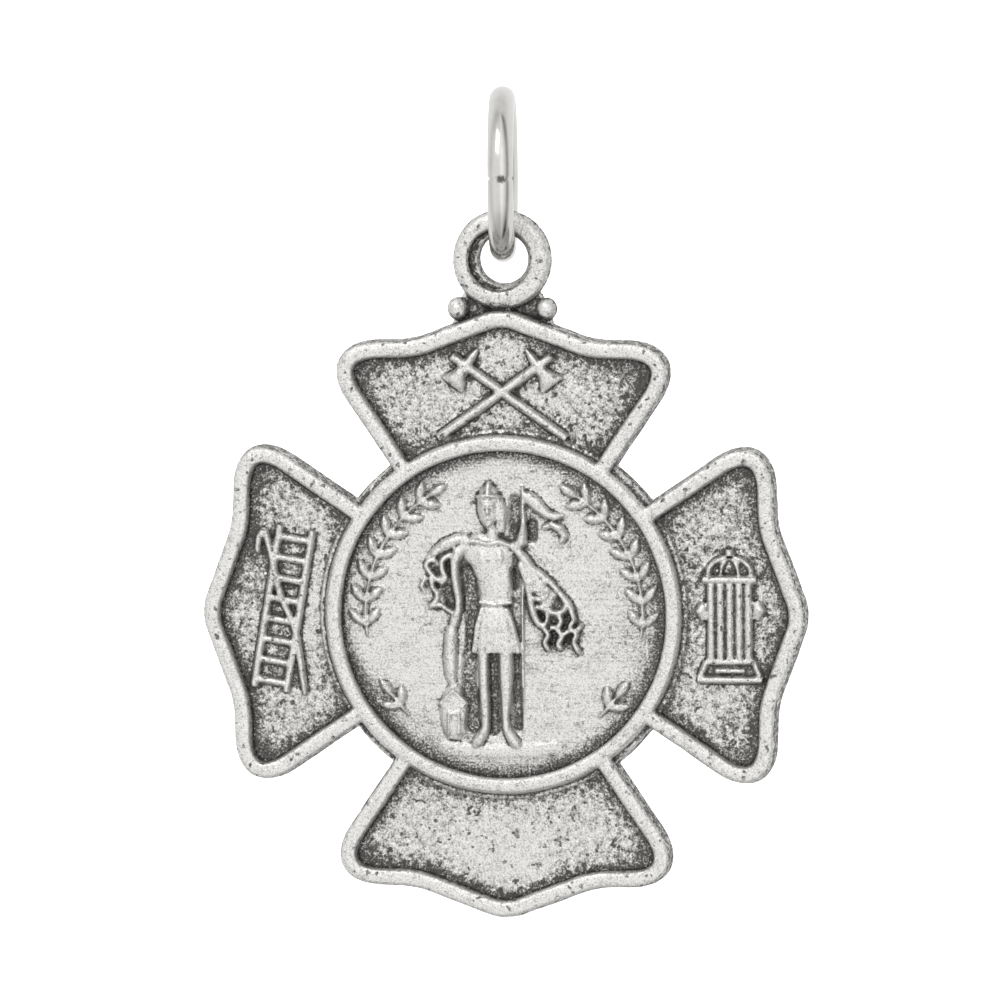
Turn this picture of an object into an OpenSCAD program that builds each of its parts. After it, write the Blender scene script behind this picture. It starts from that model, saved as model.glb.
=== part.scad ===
// Fire-service cross medal hung on a jump ring. Millimetres.
// The origin is the top of the jump ring's hole, where a chain bears. The medal
// hangs down -Z with its front towards -Y, and its left and right are those of the view.

/* [Jump ring] */
// Thickness of the ring's wire
ring_wire = 0.85; // [0.7:0.05:0.9]
// Outer diameter of the ring
ring_outer = 5.8; // [5.6:0.1:6.4]
// Turn of the ring about the vertical, in degrees
ring_turn = 7; // [0:1:8]

/* [Loop] */
// Outer radius of the loop
loop_outer = 1.65; // [1.6:0.05:1.8]
// Radius of the loop's throat, where the ring runs
loop_throat = 0.78; // [0.75:0.01:0.85]
// Radius of the wide front mouth of the loop's hole
loop_mouth = 1.05; // [1:0.05:1.1]
// Thickness of the loop, front to back
loop_thick = 1.1; // [1:0.05:1.2]
// Room between the ring's wire and the top of the throat
loop_play = 0.04; // [0.03:0.01:0.08]
// Radius of the two beads beside the loop
bead_r = 0.35; // [0.3:0.01:0.38]

/* [Cross] */
// Height of the loop's centre over the disc's centre
loop_height = 11.7; // [11.6:0.05:11.8]
// Whole thickness of the casting at the rims of the arms
medal_thick = 1.5; // [1.3:0.05:1.8]
// Depth of the sunk fields below the rims
field_depth = 0.4; // [0.3:0.05:0.5]
// Width of the raised rim round each arm
rim_w = 0.62; // [0.5:0.01:0.68]

/* [Disc] */
// Outer radius of the disc's base
disc_r = 6.2; // [6.15:0.01:6.3]
// Radius at the crest of the disc's round rim
disc_crest_r = 5.7; // [5.65:0.01:5.75]
// Width of the disc's round rim
disc_rim_w = 0.6; // [0.5:0.01:0.62]
// Height of the disc's rim over the rims of the arms
disc_proud = 0.05; // [0:0.01:0.1]

/* [Wreath] */
// Radius of the ring of laurel sprigs
wreath_r = 4.62; // [4.5:0.01:4.7]
// Length of one laurel leaf
leaf_l = 0.8; // [0.6:0.01:0.85]
// Width of one laurel leaf
leaf_w = 0.36; // [0.24:0.01:0.38]

/* [Hidden] */
$fn = 48;

ring_inner_r = ring_outer / 2 - ring_wire;
ring_mid_r = ring_outer / 2 - ring_wire / 2;
loop_z = loop_throat + 2 * ring_inner_r - loop_play;
disc_z = loop_z + loop_height;
back = -medal_thick / 2;
rim_top = medal_thick / 2;
field = rim_top - field_depth;
// Level at which the casting is widest, and how far a ridge's foot is buried in the field
widest = 0.05;
root = 0.12;

// Corners of an arm's outline, round its left half from the tip to the neck.
// Columns: across, out from the disc's centre, corner radius, steps of its arc
ARM_CORNERS = [
    [0, 10.2, 1.6, 6],
    [-3, 9.08, 2.5, 3],
    [-6.55, 9.0, 1.3, 9],
    [-3.03, 3.8, 0.05, 1]
];

// Layers of an arm, from its back over the rim to the field.
// Columns: share of the rim's width that the outline is drawn in, height
ARM_LAYERS = [
    [0.35, back],
    [0.16, back + 0.2],
    [0, widest],
    [0.05, field - 0.05],
    [0.11, rim_top - 0.21],
    [0.2, rim_top - 0.06],
    [0.34, rim_top],
    [0.72, rim_top],
    [0.87, rim_top - 0.07],
    [0.95, rim_top - 0.21],
    [1, field - root]
];
// How far the plate that closes an arm reaches under its rim, and its thickness
PLATE_REACH = 0.8;
PLATE_THICK = 0.8;

// Section of the disc, from its back round the side and over the rim to the field.
// Columns: radius, height
disc_top = rim_top + disc_proud;
disc_rim_out = disc_crest_r + disc_rim_w / 2;
disc_rim_in = disc_crest_r - disc_rim_w / 2;
DISC_SECTION = [
    [0, back],
    [disc_r - 0.22, back],
    [disc_r - 0.1, back + 0.2],
    [disc_r, widest],
    [disc_r - 0.03, field - 0.05],
    [disc_r - 0.1, field + 0.12],
    [disc_rim_out, field + 0.13],
    [disc_rim_out - 0.09, disc_top - 0.12],
    [disc_rim_out - 0.18, disc_top - 0.02],
    [disc_crest_r - 0.02, disc_top],
    [disc_rim_in + 0.13, disc_top - 0.02],
    [disc_rim_in + 0.04, disc_top - 0.11],
    [disc_rim_in, field],
    [0, field]
];

// Section of the loop, from the throat round the back to the front mouth.
// Columns: radius, height
loop_half = loop_thick / 2;
LOOP_SECTION = [
    [loop_throat, -0.4],
    [loop_throat + 0.2, -loop_half],
    [loop_outer - 0.3, -loop_half],
    [loop_outer - 0.18, -0.4],
    [loop_outer - 0.04, 0],
    [loop_outer, 0.15],
    [loop_outer - 0.02, 0.35],
    [loop_outer - 0.12, loop_half - 0.06],
    [loop_outer - 0.28, loop_half],
    [loop_mouth + 0.06, loop_half],
    [loop_mouth, loop_half - 0.05],
    [loop_mouth - 0.03, 0.2],
    [loop_mouth - 0.1, 0.16],
    [loop_throat + 0.04, 0.1],
    [loop_throat, -0.1]
];

// Outline of the web between the loop and the top arm. Columns: across, out, corner radius, steps of its arc
WEB_CORNERS = [
    [-1.75, 9.3, 0.05, 1],
    [1.75, 9.3, 0.05, 1],
    [1.6, 9.95, 0.05, 1],
    [1.3, 10.6, 0.05, 1],
    [0.9, 10.7, 0.05, 1],
    [-0.9, 10.7, 0.05, 1],
    [-1.3, 10.6, 0.05, 1],
    [-1.6, 9.95, 0.05, 1]
];
// Layers of the web. Columns: how far the outline is drawn in, height
WEB_LAYERS = [
    [0.12, back + 0.28],
    [0, widest],
    [0, widest + 0.06],
    [0.1, widest + 0.17]
];
// Where a bead sits: across, out, height
BEAD = [1.48, 10.08, 0.24];

// Relief is laid over the fields as ridges. Each row of a ridge is one section.
// Columns: across, up, half width, height over the field
BODY = [
    // Hair behind the head
    [[-0.42, 4.0, 0.2, 0.2], [-0.22, 3.8, 0.24, 0.24], [-0.1, 3.45, 0.25, 0.25],
     [-0.1, 3.05, 0.22, 0.22], [-0.06, 2.7, 0.15, 0.16]],
    // Neck
    [[-0.42, 3.05, 0.2, 0.2], [-0.34, 2.4, 0.25, 0.27]],
    // Torso
    [[-0.45, 2.62, 0.35, 0.18], [-0.5, 2.42, 0.8, 0.26], [-0.55, 2.15, 0.93, 0.3], [-0.42, 1.75, 0.7, 0.33],
     [-0.34, 1.25, 0.57, 0.32], [-0.3, 0.4, 0.48, 0.27]],
    // Collar
    [[-1.4, 2.36, 0.1, 0.27], [-0.95, 2.44, 0.13, 0.34], [-0.5, 2.34, 0.12, 0.36],
     [-0.1, 2.42, 0.13, 0.34], [0.3, 2.26, 0.1, 0.27]],
    // Belt
    [[-0.82, 0.42, 0.1, 0.27], [-0.3, 0.34, 0.11, 0.38], [0.22, 0.42, 0.1, 0.27]],
    // Skirt
    [[-0.3, 0.4, 0.46, 0.24], [-0.3, 0.15, 0.54, 0.31], [-0.28, -0.4, 0.68, 0.35], [-0.25, -1.0, 0.8, 0.33],
     [-0.25, -1.27, 0.8, 0.26]],
    // Legs
    [[-0.66, -1.0, 0.22, 0.26], [-0.67, -2.2, 0.17, 0.27], [-0.65, -2.75, 0.19, 0.29],
     [-0.61, -3.75, 0.16, 0.28], [-0.76, -4.03, 0.19, 0.26], [-0.92, -4.27, 0.19, 0.2], [-1.02, -4.42, 0.1, 0.12]],
    [[0.06, -1.0, 0.26, 0.26], [0.08, -2.2, 0.25, 0.28], [0.08, -2.8, 0.2, 0.29], [0.05, -3.4, 0.15, 0.27],
     [0.22, -4.05, 0.19, 0.26], [0.38, -4.3, 0.19, 0.2], [0.48, -4.43, 0.1, 0.12]],
    // Lowered arm
    [[-1.15, 2.32, 0.25, 0.27], [-1.5, 2.05, 0.24, 0.31], [-1.62, 1.7, 0.18, 0.32], [-1.56, 0.9, 0.15, 0.3],
     [-1.49, 0.5, 0.14, 0.29], [-1.5, 0.15, 0.14, 0.28], [-1.67, -0.38, 0.15, 0.22]],
    // Raised arm
    [[0.28, 2.2, 0.2, 0.26], [0.5, 2.3, 0.19, 0.3], [0.62, 2.42, 0.21, 0.34], [0.66, 2.64, 0.18, 0.33],
     [0.69, 3.12, 0.09, 0.26], [0.67, 3.4, 0.07, 0.18]],
    // Edge of the cloak
    [[0.42, 2.2, 0.14, 0.24], [0.7, 1.85, 0.18, 0.28], [1.3, 1.3, 0.15, 0.27], [1.87, 0.73, 0.13, 0.26],
     [2.14, 0.38, 0.16, 0.28], [2.38, 0.05, 0.13, 0.26], [2.52, -0.35, 0.12, 0.25], [2.46, -0.75, 0.12, 0.24],
     [2.3, -1.1, 0.08, 0.2]],
    // Cloak on the right and on the left
    [[0.6, 1.9, 0.1, 0.1], [0.85, 1.45, 0.26, 0.14], [1.5, 0.45, 0.55, 0.15], [1.75, -0.05, 0.66, 0.15],
     [1.9, -0.55, 0.6, 0.15], [1.85, -1.2, 0.2, 0.08]],
    [[-1.6, 2.2, 0.15, 0.1], [-1.95, 1.85, 0.28, 0.12], [-2.15, 1.35, 0.38, 0.12], [-2.1, 0.35, 0.22, 0.08]],
    // Banner and its fold
    [[0.66, 3.98, 0.12, 0.2], [0.84, 3.88, 0.22, 0.24], [1.06, 3.72, 0.25, 0.25], [1.28, 3.48, 0.2, 0.24],
     [1.76, 3.24, 0.14, 0.22], [2.02, 3.3, 0.07, 0.14]],
    [[1.3, 2.86, 0.07, 0.16], [1.6, 2.98, 0.12, 0.2], [1.9, 2.86, 0.16, 0.24], [2.05, 2.6, 0.15, 0.22],
     [1.9, 2.38, 0.09, 0.16]],
    // Water
    [[-1.73, -0.4, 0.17, 0.2], [-1.79, -1.5, 0.24, 0.25], [-1.72, -2.3, 0.12, 0.15]],
    // House
    [[-1.66, -2.3, 0.14, 0.14], [-1.68, -2.62, 0.34, 0.2], [-1.68, -2.95, 0.5, 0.23],
     [-1.66, -3.85, 0.42, 0.22], [-1.68, -4.15, 0.28, 0.14]]
];
HEAD = [
    [-0.48, 4.28, 0.16, 0.12],
    [-0.48, 4.1, 0.33, 0.24],
    [-0.48, 3.8, 0.41, 0.32],
    [-0.48, 3.45, 0.4, 0.34],
    [-0.47, 3.15, 0.33, 0.32],
    [-0.46, 2.86, 0.1, 0.2]
];
// Brim and crest of the helmet, brows, nose and chin
FACE = [
    [[-0.89, 3.88, 0.05, 0.24], [-0.48, 3.94, 0.07, 0.42], [-0.06, 3.88, 0.05, 0.24]],
    [[-0.48, 4.0, 0.08, 0.36], [-0.46, 4.4, 0.1, 0.2]],
    [[-0.7, 3.66, 0.05, 0.35], [-0.48, 3.66, 0.05, 0.4], [-0.25, 3.66, 0.05, 0.35]],
    [[-0.48, 3.66, 0.05, 0.38], [-0.48, 3.36, 0.08, 0.44]],
    [[-0.48, 3.06, 0.08, 0.34], [-0.47, 2.9, 0.06, 0.3]]
];

AXE_BIT = [
    [1.2, 0.87, 0.22, 0.34],
    [1.4, 0.6, 0.25, 0.34],
    [1.56, 0.36, 0.4, 0.3],
    [1.68, 0.2, 0.52, 0.18]
];
AXE_PICK = [
    [1.24, 0.8, 0.22, 0.34],
    [0.98, 1.17, 0.15, 0.3],
    [0.8, 1.42, 0.05, 0.2]
];

// Ridges that share one height and taper to their ends.
// Columns of a row: half width, height, then the bends of the ridge as across and up
// Pleats of the skirt: places from the middle one, half width and height, and how far they spread
PLEATS = [-3, -2, -1, 0, 1, 2, 3];
PLEAT = [0.08, 0.36];
PLEAT_TOP = [-0.3, 0.1];
PLEAT_FOOT = [-0.26, -1.22];
PLEATS_APART = [0.15, 0.24];
FOLDS = [
    [0.12, 0.26, [-1.6, 2.4], [-1.9, 2.3], [-2.14, 2.1], [-2.4, 1.9]],
    [0.11, 0.25, [-1.66, 2.0], [-2.02, 1.8], [-2.02, 1.45], [-1.92, 1.2], [-2.1, 0.96]],
    [0.1, 0.24, [-1.95, 1.2], [-2.18, 1.12], [-2.4, 1.34], [-2.57, 1.6]],
    [0.1, 0.24, [-2.42, 1.3], [-2.36, 0.93], [-2.2, 0.68], [-2.26, 0.42], [-2.5, 0.2]],
    [0.09, 0.22, [-2.42, 0.26], [-2.12, 0.3], [-1.7, 0.05]],
    [0.14, 0.3, [0.55, 1.75], [0.74, 1.25], [0.85, 0.82], [0.92, 0.42], [1.02, 0.02], [1.2, -0.3],
     [1.44, -0.38]],
    [0.11, 0.3, [0.84, 1.2], [0.94, 0.9], [1.16, 0.8], [1.34, 0.92], [1.36, 1.2]],
    [0.1, 0.3, [0.94, 0.6], [1.2, 0.5], [1.44, 0.62], [1.5, 0.9]],
    [0.14, 0.28, [1.04, 0.26], [1.3, 0.24], [1.52, 0.16]],
    [0.12, 0.3, [1.46, 0.16], [1.74, 0.06], [1.98, 0.12], [2.12, 0.36]],
    [0.11, 0.28, [1.44, 0.12], [1.46, -0.16], [1.28, -0.7], [1.4, -1.0], [1.6, -1.24]],
    [0.12, 0.28, [1.8, 0.05], [1.9, -0.2], [1.8, -0.46], [1.98, -0.72], [2.14, -1.26]],
    [0.1, 0.26, [1.46, -0.42], [1.62, -0.52], [1.68, -0.76], [1.86, -1.24]]
];
STAFF = [
    [0.06, 0.2, [0.66, 4.24], [0.66, 3.1]],
    [0.06, 0.17, [0.64, 1.5], [0.63, -3.9]]
];
GROUND = [
    [0.26, 0.1, [-2.2, -4.4], [-1.4, -4.52], [-0.2, -4.56], [1.0, -4.5], [1.9, -4.36]]
];
HOUSE_TRIM = [
    [0.1, 0.3, [-2.18, -3.0], [-1.68, -2.52], [-1.18, -3.0]],
    [0.07, 0.3, [-1.84, -3.3], [-1.84, -4.0]],
    [0.07, 0.3, [-1.5, -3.3], [-1.5, -4.0]]
];
AXE_HANDLE = [
    [0.17, 0.3, [-2.1, -1.5], [-1.9, -1.36], [0.6, 0.42], [1.45, 1.03], [1.7, 1.2]]
];
AXES_UP = 7.35;

// Ladder: middle, lean in degrees, length, width between the rails, half width and height of a rail
// and of a rung, and how the rungs are spread as shares of the length
LADDER_PLACE = [-7.37, 0.14, 0];
LADDER_LEAN = 9.8;
LADDER_LONG = 5.45;
LADDER_WIDE = 1.1;
RAIL = [0.14, 0.24];
RUNG = [0.13, 0.22];
RUNGS = 8;
TOP_RUNG = 0.43;
RUNG_SPREAD = 0.88;
PIKE = [
    [0.13, 0.27, [-7.96, 2.84], [-7.72, 1.75], [-7.44, 0.55], [-7.02, -0.4], [-6.84, -1.3], [-6.65, -2.75]],
    [0.13, 0.25, [-7.94, 2.78], [-8.12, 2.6], [-8.2, 2.3], [-8.2, 1.95]]
];

// Hydrant, about a place straight out from the disc's centre
HYDRANT_ACROSS = 7.51;
HYDRANT = [
    [0.15, 0.28, [0, 2.2], [0, 2.0]],
    [0.1, 0.2, [-0.72, 1.36], [-0.67, 1.6], [-0.45, 1.82], [-0.1, 1.94]],
    [0.1, 0.2, [0.72, 1.36], [0.67, 1.6], [0.45, 1.82], [0.1, 1.94]],
    [0.09, 0.22, [-0.3, 1.36], [-0.25, 1.68], [-0.06, 1.92]],
    [0.09, 0.22, [0.3, 1.36], [0.25, 1.68], [0.06, 1.92]],
    [0.16, 0.28, [-0.9, 1.2], [0.9, 1.2]],
    [0.2, 0.26, [-0.9, 0.42], [-0.98, 0.16], [-0.9, -0.12]],
    [0.2, 0.26, [0.92, 0.48], [1.0, 0.2], [0.92, -0.08]],
    [0.12, 0.22, [-0.78, -1.5], [0.78, -1.5]],
    [0.12, 0.22, [-0.78, -1.5], [-1.02, -2.05]],
    [0.12, 0.22, [0.78, -1.5], [1.02, -2.05]],
    [0.13, 0.24, [-1.08, -2.1], [1.08, -2.1]],
    [0.1, 0.18, [-0.5, -1.8], [0.5, -1.8]]
];
HYDRANT_RIBS = [-0.62, -0.31, 0, 0.31, 0.62];
RIB = [0.13, 0.24];
RIB_TOP = 1.02;
RIB_FOOT = -1.4;

// Sprigs of the wreath, on the left side. Columns: angle of the foot, angle of the tip, pairs of leaves
SPRIGS = [[190, 123, 7], [227, 217, 1]];
// Half width and height of a sprig's stem, and how far and at what lean a leaf springs from it
STEM = [0.05, 0.14];
LEAF_OUT = 0.03;
OUTER_LEAN = -48;
INNER_LEAN = -132;
TIP_LEAN = -90;
// Rows of a leaf. Columns: share of its length, half width as a share of its width, height
LEAF_ROWS = [[0, 0.14, 0.07], [0.45, 0.5, 0.2], [1, 0.06, 0.06]];

function unit(v) = v / norm(v);
function inward(a, b) = let (e = unit(b - a)) [-e.y, e.x];
function place(c) = [c[0], c[1]];
function polar(r, a) = [r * cos(a), r * sin(a)];

// One corner of a counter-clockwise outline drawn in by d, still with its radius and steps
function drawn_in(a, b, c, d) =
    let (n = inward(place(a), place(b)),
        m = inward(place(b), place(c)),
        p = place(b) + d * (n + m) / (1 + n * m),
        hollow = cross(n, m) < 0)
    [p.x, p.y, hollow ? b[2] + d : max(b[2] - d, 0.05), b[3]];

// Points of the arc that rounds corner b between corners a and c
function arc(a, b, c) =
    let (u = unit(place(a) - place(b)),
        v = unit(place(c) - place(b)),
        half = acos(u * v) / 2,
        centre = place(b) + unit(u + v) * b[2] / sin(half),
        from = place(b) + u * b[2] / tan(half) - centre,
        to = place(b) + v * b[2] / tan(half) - centre,
        start = atan2(from.y, from.x),
        sweep = (atan2(to.y, to.x) - start + 900) % 360 - 180)
    [for (i = [0:b[3]]) centre + polar(b[2], start + sweep * i / b[3])];

function corners_in(corners, d) =
    let (n = len(corners))
    [for (i = [0:n - 1]) drawn_in(corners[(i + n - 1) % n], corners[i], corners[(i + 1) % n], d)];

function rounded(corners) =
    let (n = len(corners))
    [for (i = [0:n - 1]) each arc(corners[(i + n - 1) % n], corners[i], corners[(i + 1) % n])];

// Closed solid through loops of points that run the same way round
module skin(loops) {
    n = len(loops[0]);
    last = len(loops) - 1;
    sides = [for (i = [0:last - 1], j = [0:n - 1])
        let (k = (j + 1) % n)
        each [
            [i * n + j, (i + 1) * n + j, (i + 1) * n + k],
            [i * n + j, (i + 1) * n + k, i * n + k]
        ]];
    ends = [[for (j = [0:n - 1]) j], [for (j = [n - 1:-1:0]) last * n + j]];
    polyhedron([for (loop = loops) each loop], concat(sides, ends));
}

// Raised ridge through rows of across, up, half width and height, rounded from a buried foot
module ridge(rows, steps = 4) {
    last = len(rows) - 1;
    skin([for (i = [0:last])
        let (row = rows[i],
            along = unit(place(rows[min(i + 1, last)]) - place(rows[max(i - 1, 0)])),
            side = [-along.y, along.x],
            rise = row[3] + root,
            spread = row[2] / sqrt(1 - pow(root / rise, 2)))
        [for (j = [0:steps])
            let (p = place(row) + side * spread * cos(180 * j / steps))
            [p.x, p.y, field - root + rise * sin(180 * j / steps)]]]);
}

// Ridges of one height each, narrowed at both ends where they bend
module ridges(list, steps = 3) {
    for (row = list) {
        last = len(row) - 3;
        ridge([for (i = [0:last])
            let (narrowed = last > 1 && (i == 0 || i == last), share = narrowed ? 0.6 : 1)
            [row[i + 2].x, row[i + 2].y, row[0] * share, row[1] * share]], steps);
    }
}

// One arm, pointing up
module arm() {
    mirrored = [for (i = [len(ARM_CORNERS) - 1:-1:1])
        let (c = ARM_CORNERS[i])
        [-c[0], c[1], c[2], c[3]]];
    corners = concat(ARM_CORNERS, mirrored);
    skin([for (layer = ARM_LAYERS)
        [for (p = rounded(corners_in(corners, layer[0] * rim_w))) [p.x, p.y, layer[1]]]]);
    translate([0, 0, field - PLATE_THICK])
        linear_extrude(height = PLATE_THICK)
            polygon(rounded(corners_in(corners, PLATE_REACH * rim_w)));
}

// Four arms with the disc's place cut out of them
module arms() {
    difference() {
        for (quarter = [0:3])
            rotate([0, 0, 90 * quarter])
                arm();
        translate([0, 0, back - 1])
            cylinder(r = disc_crest_r, h = medal_thick + 2, $fn = 96);
    }
}

// Round disc with its raised rim
module disc()
    rotate_extrude($fn = 96)
        polygon(DISC_SECTION);

// Loop with a wide mouth and a short throat
module loop()
    translate([0, loop_height, 0])
        rotate_extrude($fn = 56)
            polygon(LOOP_SECTION);

// Low web between the loop and the top arm, with a bead on each side
module shoulders() {
    skin([for (layer = WEB_LAYERS)
        [for (p = rounded(corners_in(WEB_CORNERS, layer[0]))) [p.x, p.y, layer[1]]]]);
    for (side = [-1, 1])
        translate([side * BEAD.x, BEAD.y, BEAD.z])
            sphere(r = bead_r, $fn = 24);
}

// Laurel leaf that points away from angle a on the wreath, turned by lean
module leaf(a, out, lean) {
    from = polar(wreath_r + out, a);
    way = polar(leaf_l, a + lean);
    ridge([for (row = LEAF_ROWS)
        [from.x + way.x * row[0], from.y + way.y * row[0], leaf_w * row[1], row[2]]], 2);
}

// Sprig of paired leaves that climbs the left side from one angle to another
module sprig(low, high, pairs) {
    stem_steps = max(2, pairs);
    ridge([for (i = [0:stem_steps])
        let (p = polar(wreath_r, low + (high - low) * i / stem_steps))
        [p.x, p.y, STEM[0], STEM[1]]], 2);
    for (i = [0:pairs - 1]) {
        a = low + (high - low) * (i + 0.5) / pairs;
        leaf(a, LEAF_OUT, OUTER_LEAN);
        leaf(a, -LEAF_OUT, INNER_LEAN);
    }
    leaf(high, 0, TIP_LEAN);
}

// Sprigs on both sides of the disc
module wreath() {
    for (side = [0, 1], row = SPRIGS)
        mirror([side, 0, 0])
            sprig(row[0], row[1], row[2]);
}

// Standing figure with its cloak, banner, water and burning house
module figure() {
    for (rows = BODY)
        ridge(rows);
    ridge(HEAD, 6);
    for (rows = FACE)
        ridge(rows, 2);
    ridges([for (i = PLEATS)
        concat(PLEAT, [PLEAT_TOP + [i * PLEATS_APART[0], 0], PLEAT_FOOT + [i * PLEATS_APART[1], 0]])], 2);
    ridges(STAFF, 2);
    ridges(FOLDS);
    ridges(HOUSE_TRIM, 2);
    ridges(GROUND);
}

// Ladder with a pike pole across it, on the left arm
module ladder() {
    half = LADDER_WIDE / 2;
    end = LADDER_LONG / 2;
    translate(LADDER_PLACE)
        rotate([0, 0, -LADDER_LEAN])
            ridges(concat(
                [for (side = [-1, 1]) concat(RAIL, [[side * half, end], [side * half, -end]])],
                [for (i = [0:RUNGS - 1])
                    let (up = LADDER_LONG * (TOP_RUNG - RUNG_SPREAD * i / (RUNGS - 1)))
                    concat(RUNG, [[-half, up], [half, up]])]
            ), 2);
    ridges(PIKE, 2);
}

// Hydrant on the right arm
module hydrant()
    translate([HYDRANT_ACROSS, 0, 0]) {
        ridges(HYDRANT, 2);
        ridges([for (across = HYDRANT_RIBS) concat(RIB, [[across, RIB_TOP], [across, RIB_FOOT]])], 2);
    }

// Two crossed axes on the top arm
module axes() {
    for (side = [0, 1])
        translate([0, AXES_UP, 0])
            mirror([side, 0, 0]) {
                ridges(AXE_HANDLE, 3);
                ridge(AXE_BIT, 3);
                ridge(AXE_PICK, 2);
            }
}

// The cross with its disc and all its relief, without the loop
module cross() {
    arms();
    disc();
    shoulders();
    wreath();
    figure();
    ladder();
    hydrant();
    axes();
}

module jump_ring() {
    color("whitesmoke")
        translate([0, 0, -ring_inner_r])
            rotate([0, 90, ring_turn])
                rotate_extrude($fn = 80)
                    translate([ring_mid_r, 0])
                        circle(d = ring_wire, $fn = 16);
}

module medal() {
    color("silver")
        translate([0, 0, -disc_z])
            rotate([90, 0, 0]) {
                loop();
                cross();
            }
}

jump_ring();
medal();
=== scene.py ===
import math

import bmesh
import bpy
import numpy as np
from mathutils import Matrix, Vector
from mathutils.bvhtree import BVHTree


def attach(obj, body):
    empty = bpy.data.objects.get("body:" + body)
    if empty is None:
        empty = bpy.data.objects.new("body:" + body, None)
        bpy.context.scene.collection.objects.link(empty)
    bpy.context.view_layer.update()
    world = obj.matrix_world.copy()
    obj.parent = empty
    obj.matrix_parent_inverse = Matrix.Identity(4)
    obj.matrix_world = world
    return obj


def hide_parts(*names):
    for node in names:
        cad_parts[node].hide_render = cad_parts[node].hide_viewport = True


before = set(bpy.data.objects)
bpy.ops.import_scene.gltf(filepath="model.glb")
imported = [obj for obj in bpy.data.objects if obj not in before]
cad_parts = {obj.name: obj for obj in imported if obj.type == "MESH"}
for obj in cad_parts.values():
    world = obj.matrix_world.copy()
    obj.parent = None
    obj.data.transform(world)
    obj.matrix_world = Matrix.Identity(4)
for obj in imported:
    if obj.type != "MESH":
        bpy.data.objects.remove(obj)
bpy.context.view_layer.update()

# The medal is made on a bench, in millimetres: x to the right, y up, z towards the front,
# with the centre of the disc at the origin. It is hung in its place at the end.
MM = 0.001

# Jump ring
RING_WIRE = 0.85
RING_OUTER = 5.8
RING_TURN = 7
RING_MID_R = (RING_OUTER - RING_WIRE) / 2
RING_INNER_R = RING_OUTER / 2 - RING_WIRE
RING_STEPS = 192
WIRE_SIDES = 48
SEAM_Z = -RING_INNER_R
SEAM_PINCH = (0.87, 0.95, 1)

# Loop
LOOP_OUTER = 1.65
LOOP_THROAT = 0.78
LOOP_MOUTH = 1.05
LOOP_THICK = 1.1
LOOP_PLAY = 0.04
LOOP_HEIGHT = 11.7
LOOP_Z = LOOP_THROAT + 2 * RING_INNER_R - LOOP_PLAY
DISC_Z = LOOP_Z + LOOP_HEIGHT

# Heights of the casting: its back, its widest level, the top of the arms' rims and the sunk fields
BACK = -0.75
WIDEST = 0.05
RIM_TOP = 0.75
FIELD = 0.35
RIM_W = 0.62

# An outline is first a plate this thick. Places this near are one place,
# and a face whose normal is this upright faces the front or the back.
PLATE_THICK = 0.001
SAME_PLACE = 0.001
FACING = 0.9

# How the sides draw in from the widest level to the back. Columns: drawn in, drop
BACK_DRAFT = [(0.1, 0.6), (0.12, 0.2)]

# Disc
DISC_R = 6.2
DISC_TOP = RIM_TOP + 0.05
DISC_CREST_R = 5.7
DISC_SIDES = 160
CUTTER_SIDES = 128
CUTTER_DEPTH = 4

# Corners of an arm's outline, from its tip round the left half to the neck.
# Columns: across, out from the disc's centre, corner radius, steps of its arc
ARM_CORNERS = [
    (0, 10.2, 1.6, 8),
    (-3, 9.08, 2.5, 6),
    (-6.55, 9.0, 1.3, 12),
    (-3.03, 3.8, 0, 0),
]

# How an arm rises from its side over the rim to the field.
# Columns: share of the rim's width that the outline is drawn in, height
ARM_LAYERS = [
    (0.05, 0.3),
    (0.09, 0.55),
    (0.16, 0.7),
    (0.27, RIM_TOP),
    (0.52, RIM_TOP + 0.02),
    (0.82, RIM_TOP),
    (0.92, 0.69),
    (0.98, 0.54),
    (1, FIELD),
]

# How the disc rises from its side over its round rim to the field, which swells a little.
# Columns: radius, height
DISC_LAYERS = [
    (DISC_R - 0.03, 0.3),
    (DISC_R - 0.1, 0.47),
    (6.0, 0.48),
    (5.96, 0.5),
    (5.91, 0.68),
    (5.82, DISC_TOP - 0.02),
    (5.68, DISC_TOP),
    (5.49, DISC_TOP - 0.02),
    (5.42, 0.69),
    (5.4, FIELD),
    (4.8, FIELD + 0.01),
    (3.8, FIELD + 0.03),
    (2.4, FIELD + 0.04),
]

# The mouth is bored a little to the left of the throat's middle, and the throat is worn a little wide
MOUTH_SHIFT = -0.08
MOUTH_FLOOR = 0.15
MOUTH_REACH = LOOP_MOUTH + 0.1
BORE = LOOP_THROAT + 0.03
LOOP_SIDES = 96
# Section of the loop, from the throat round the back to the front mouth.
# Columns: radius, height
LOOP_SECTION = [
    (BORE, -0.4),
    (BORE + 0.08, -0.52),
    (BORE + 0.2, -LOOP_THICK / 2),
    (LOOP_OUTER - 0.3, -LOOP_THICK / 2),
    (LOOP_OUTER - 0.18, -0.4),
    (LOOP_OUTER - 0.04, 0),
    (LOOP_OUTER, 0.15),
    (LOOP_OUTER - 0.02, 0.35),
    (LOOP_OUTER - 0.12, 0.49),
    (LOOP_OUTER - 0.28, LOOP_THICK / 2),
    (LOOP_MOUTH + 0.06, LOOP_THICK / 2),
    (LOOP_MOUTH, 0.5),
    (LOOP_MOUTH - 0.03, 0.2),
    (LOOP_MOUTH - 0.1, 0.16),
    (BORE + 0.04, 0.1),
    (BORE, -0.1),
]

# Web between the loop and the top arm, and its two beads. Columns: across, out
WEB_CORNERS = [
    (-1.75, 9.3), (1.75, 9.3), (1.6, 9.95), (1.3, 10.6),
    (0.9, 10.7), (-0.9, 10.7), (-1.3, 10.6), (-1.6, 9.95),
]
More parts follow.
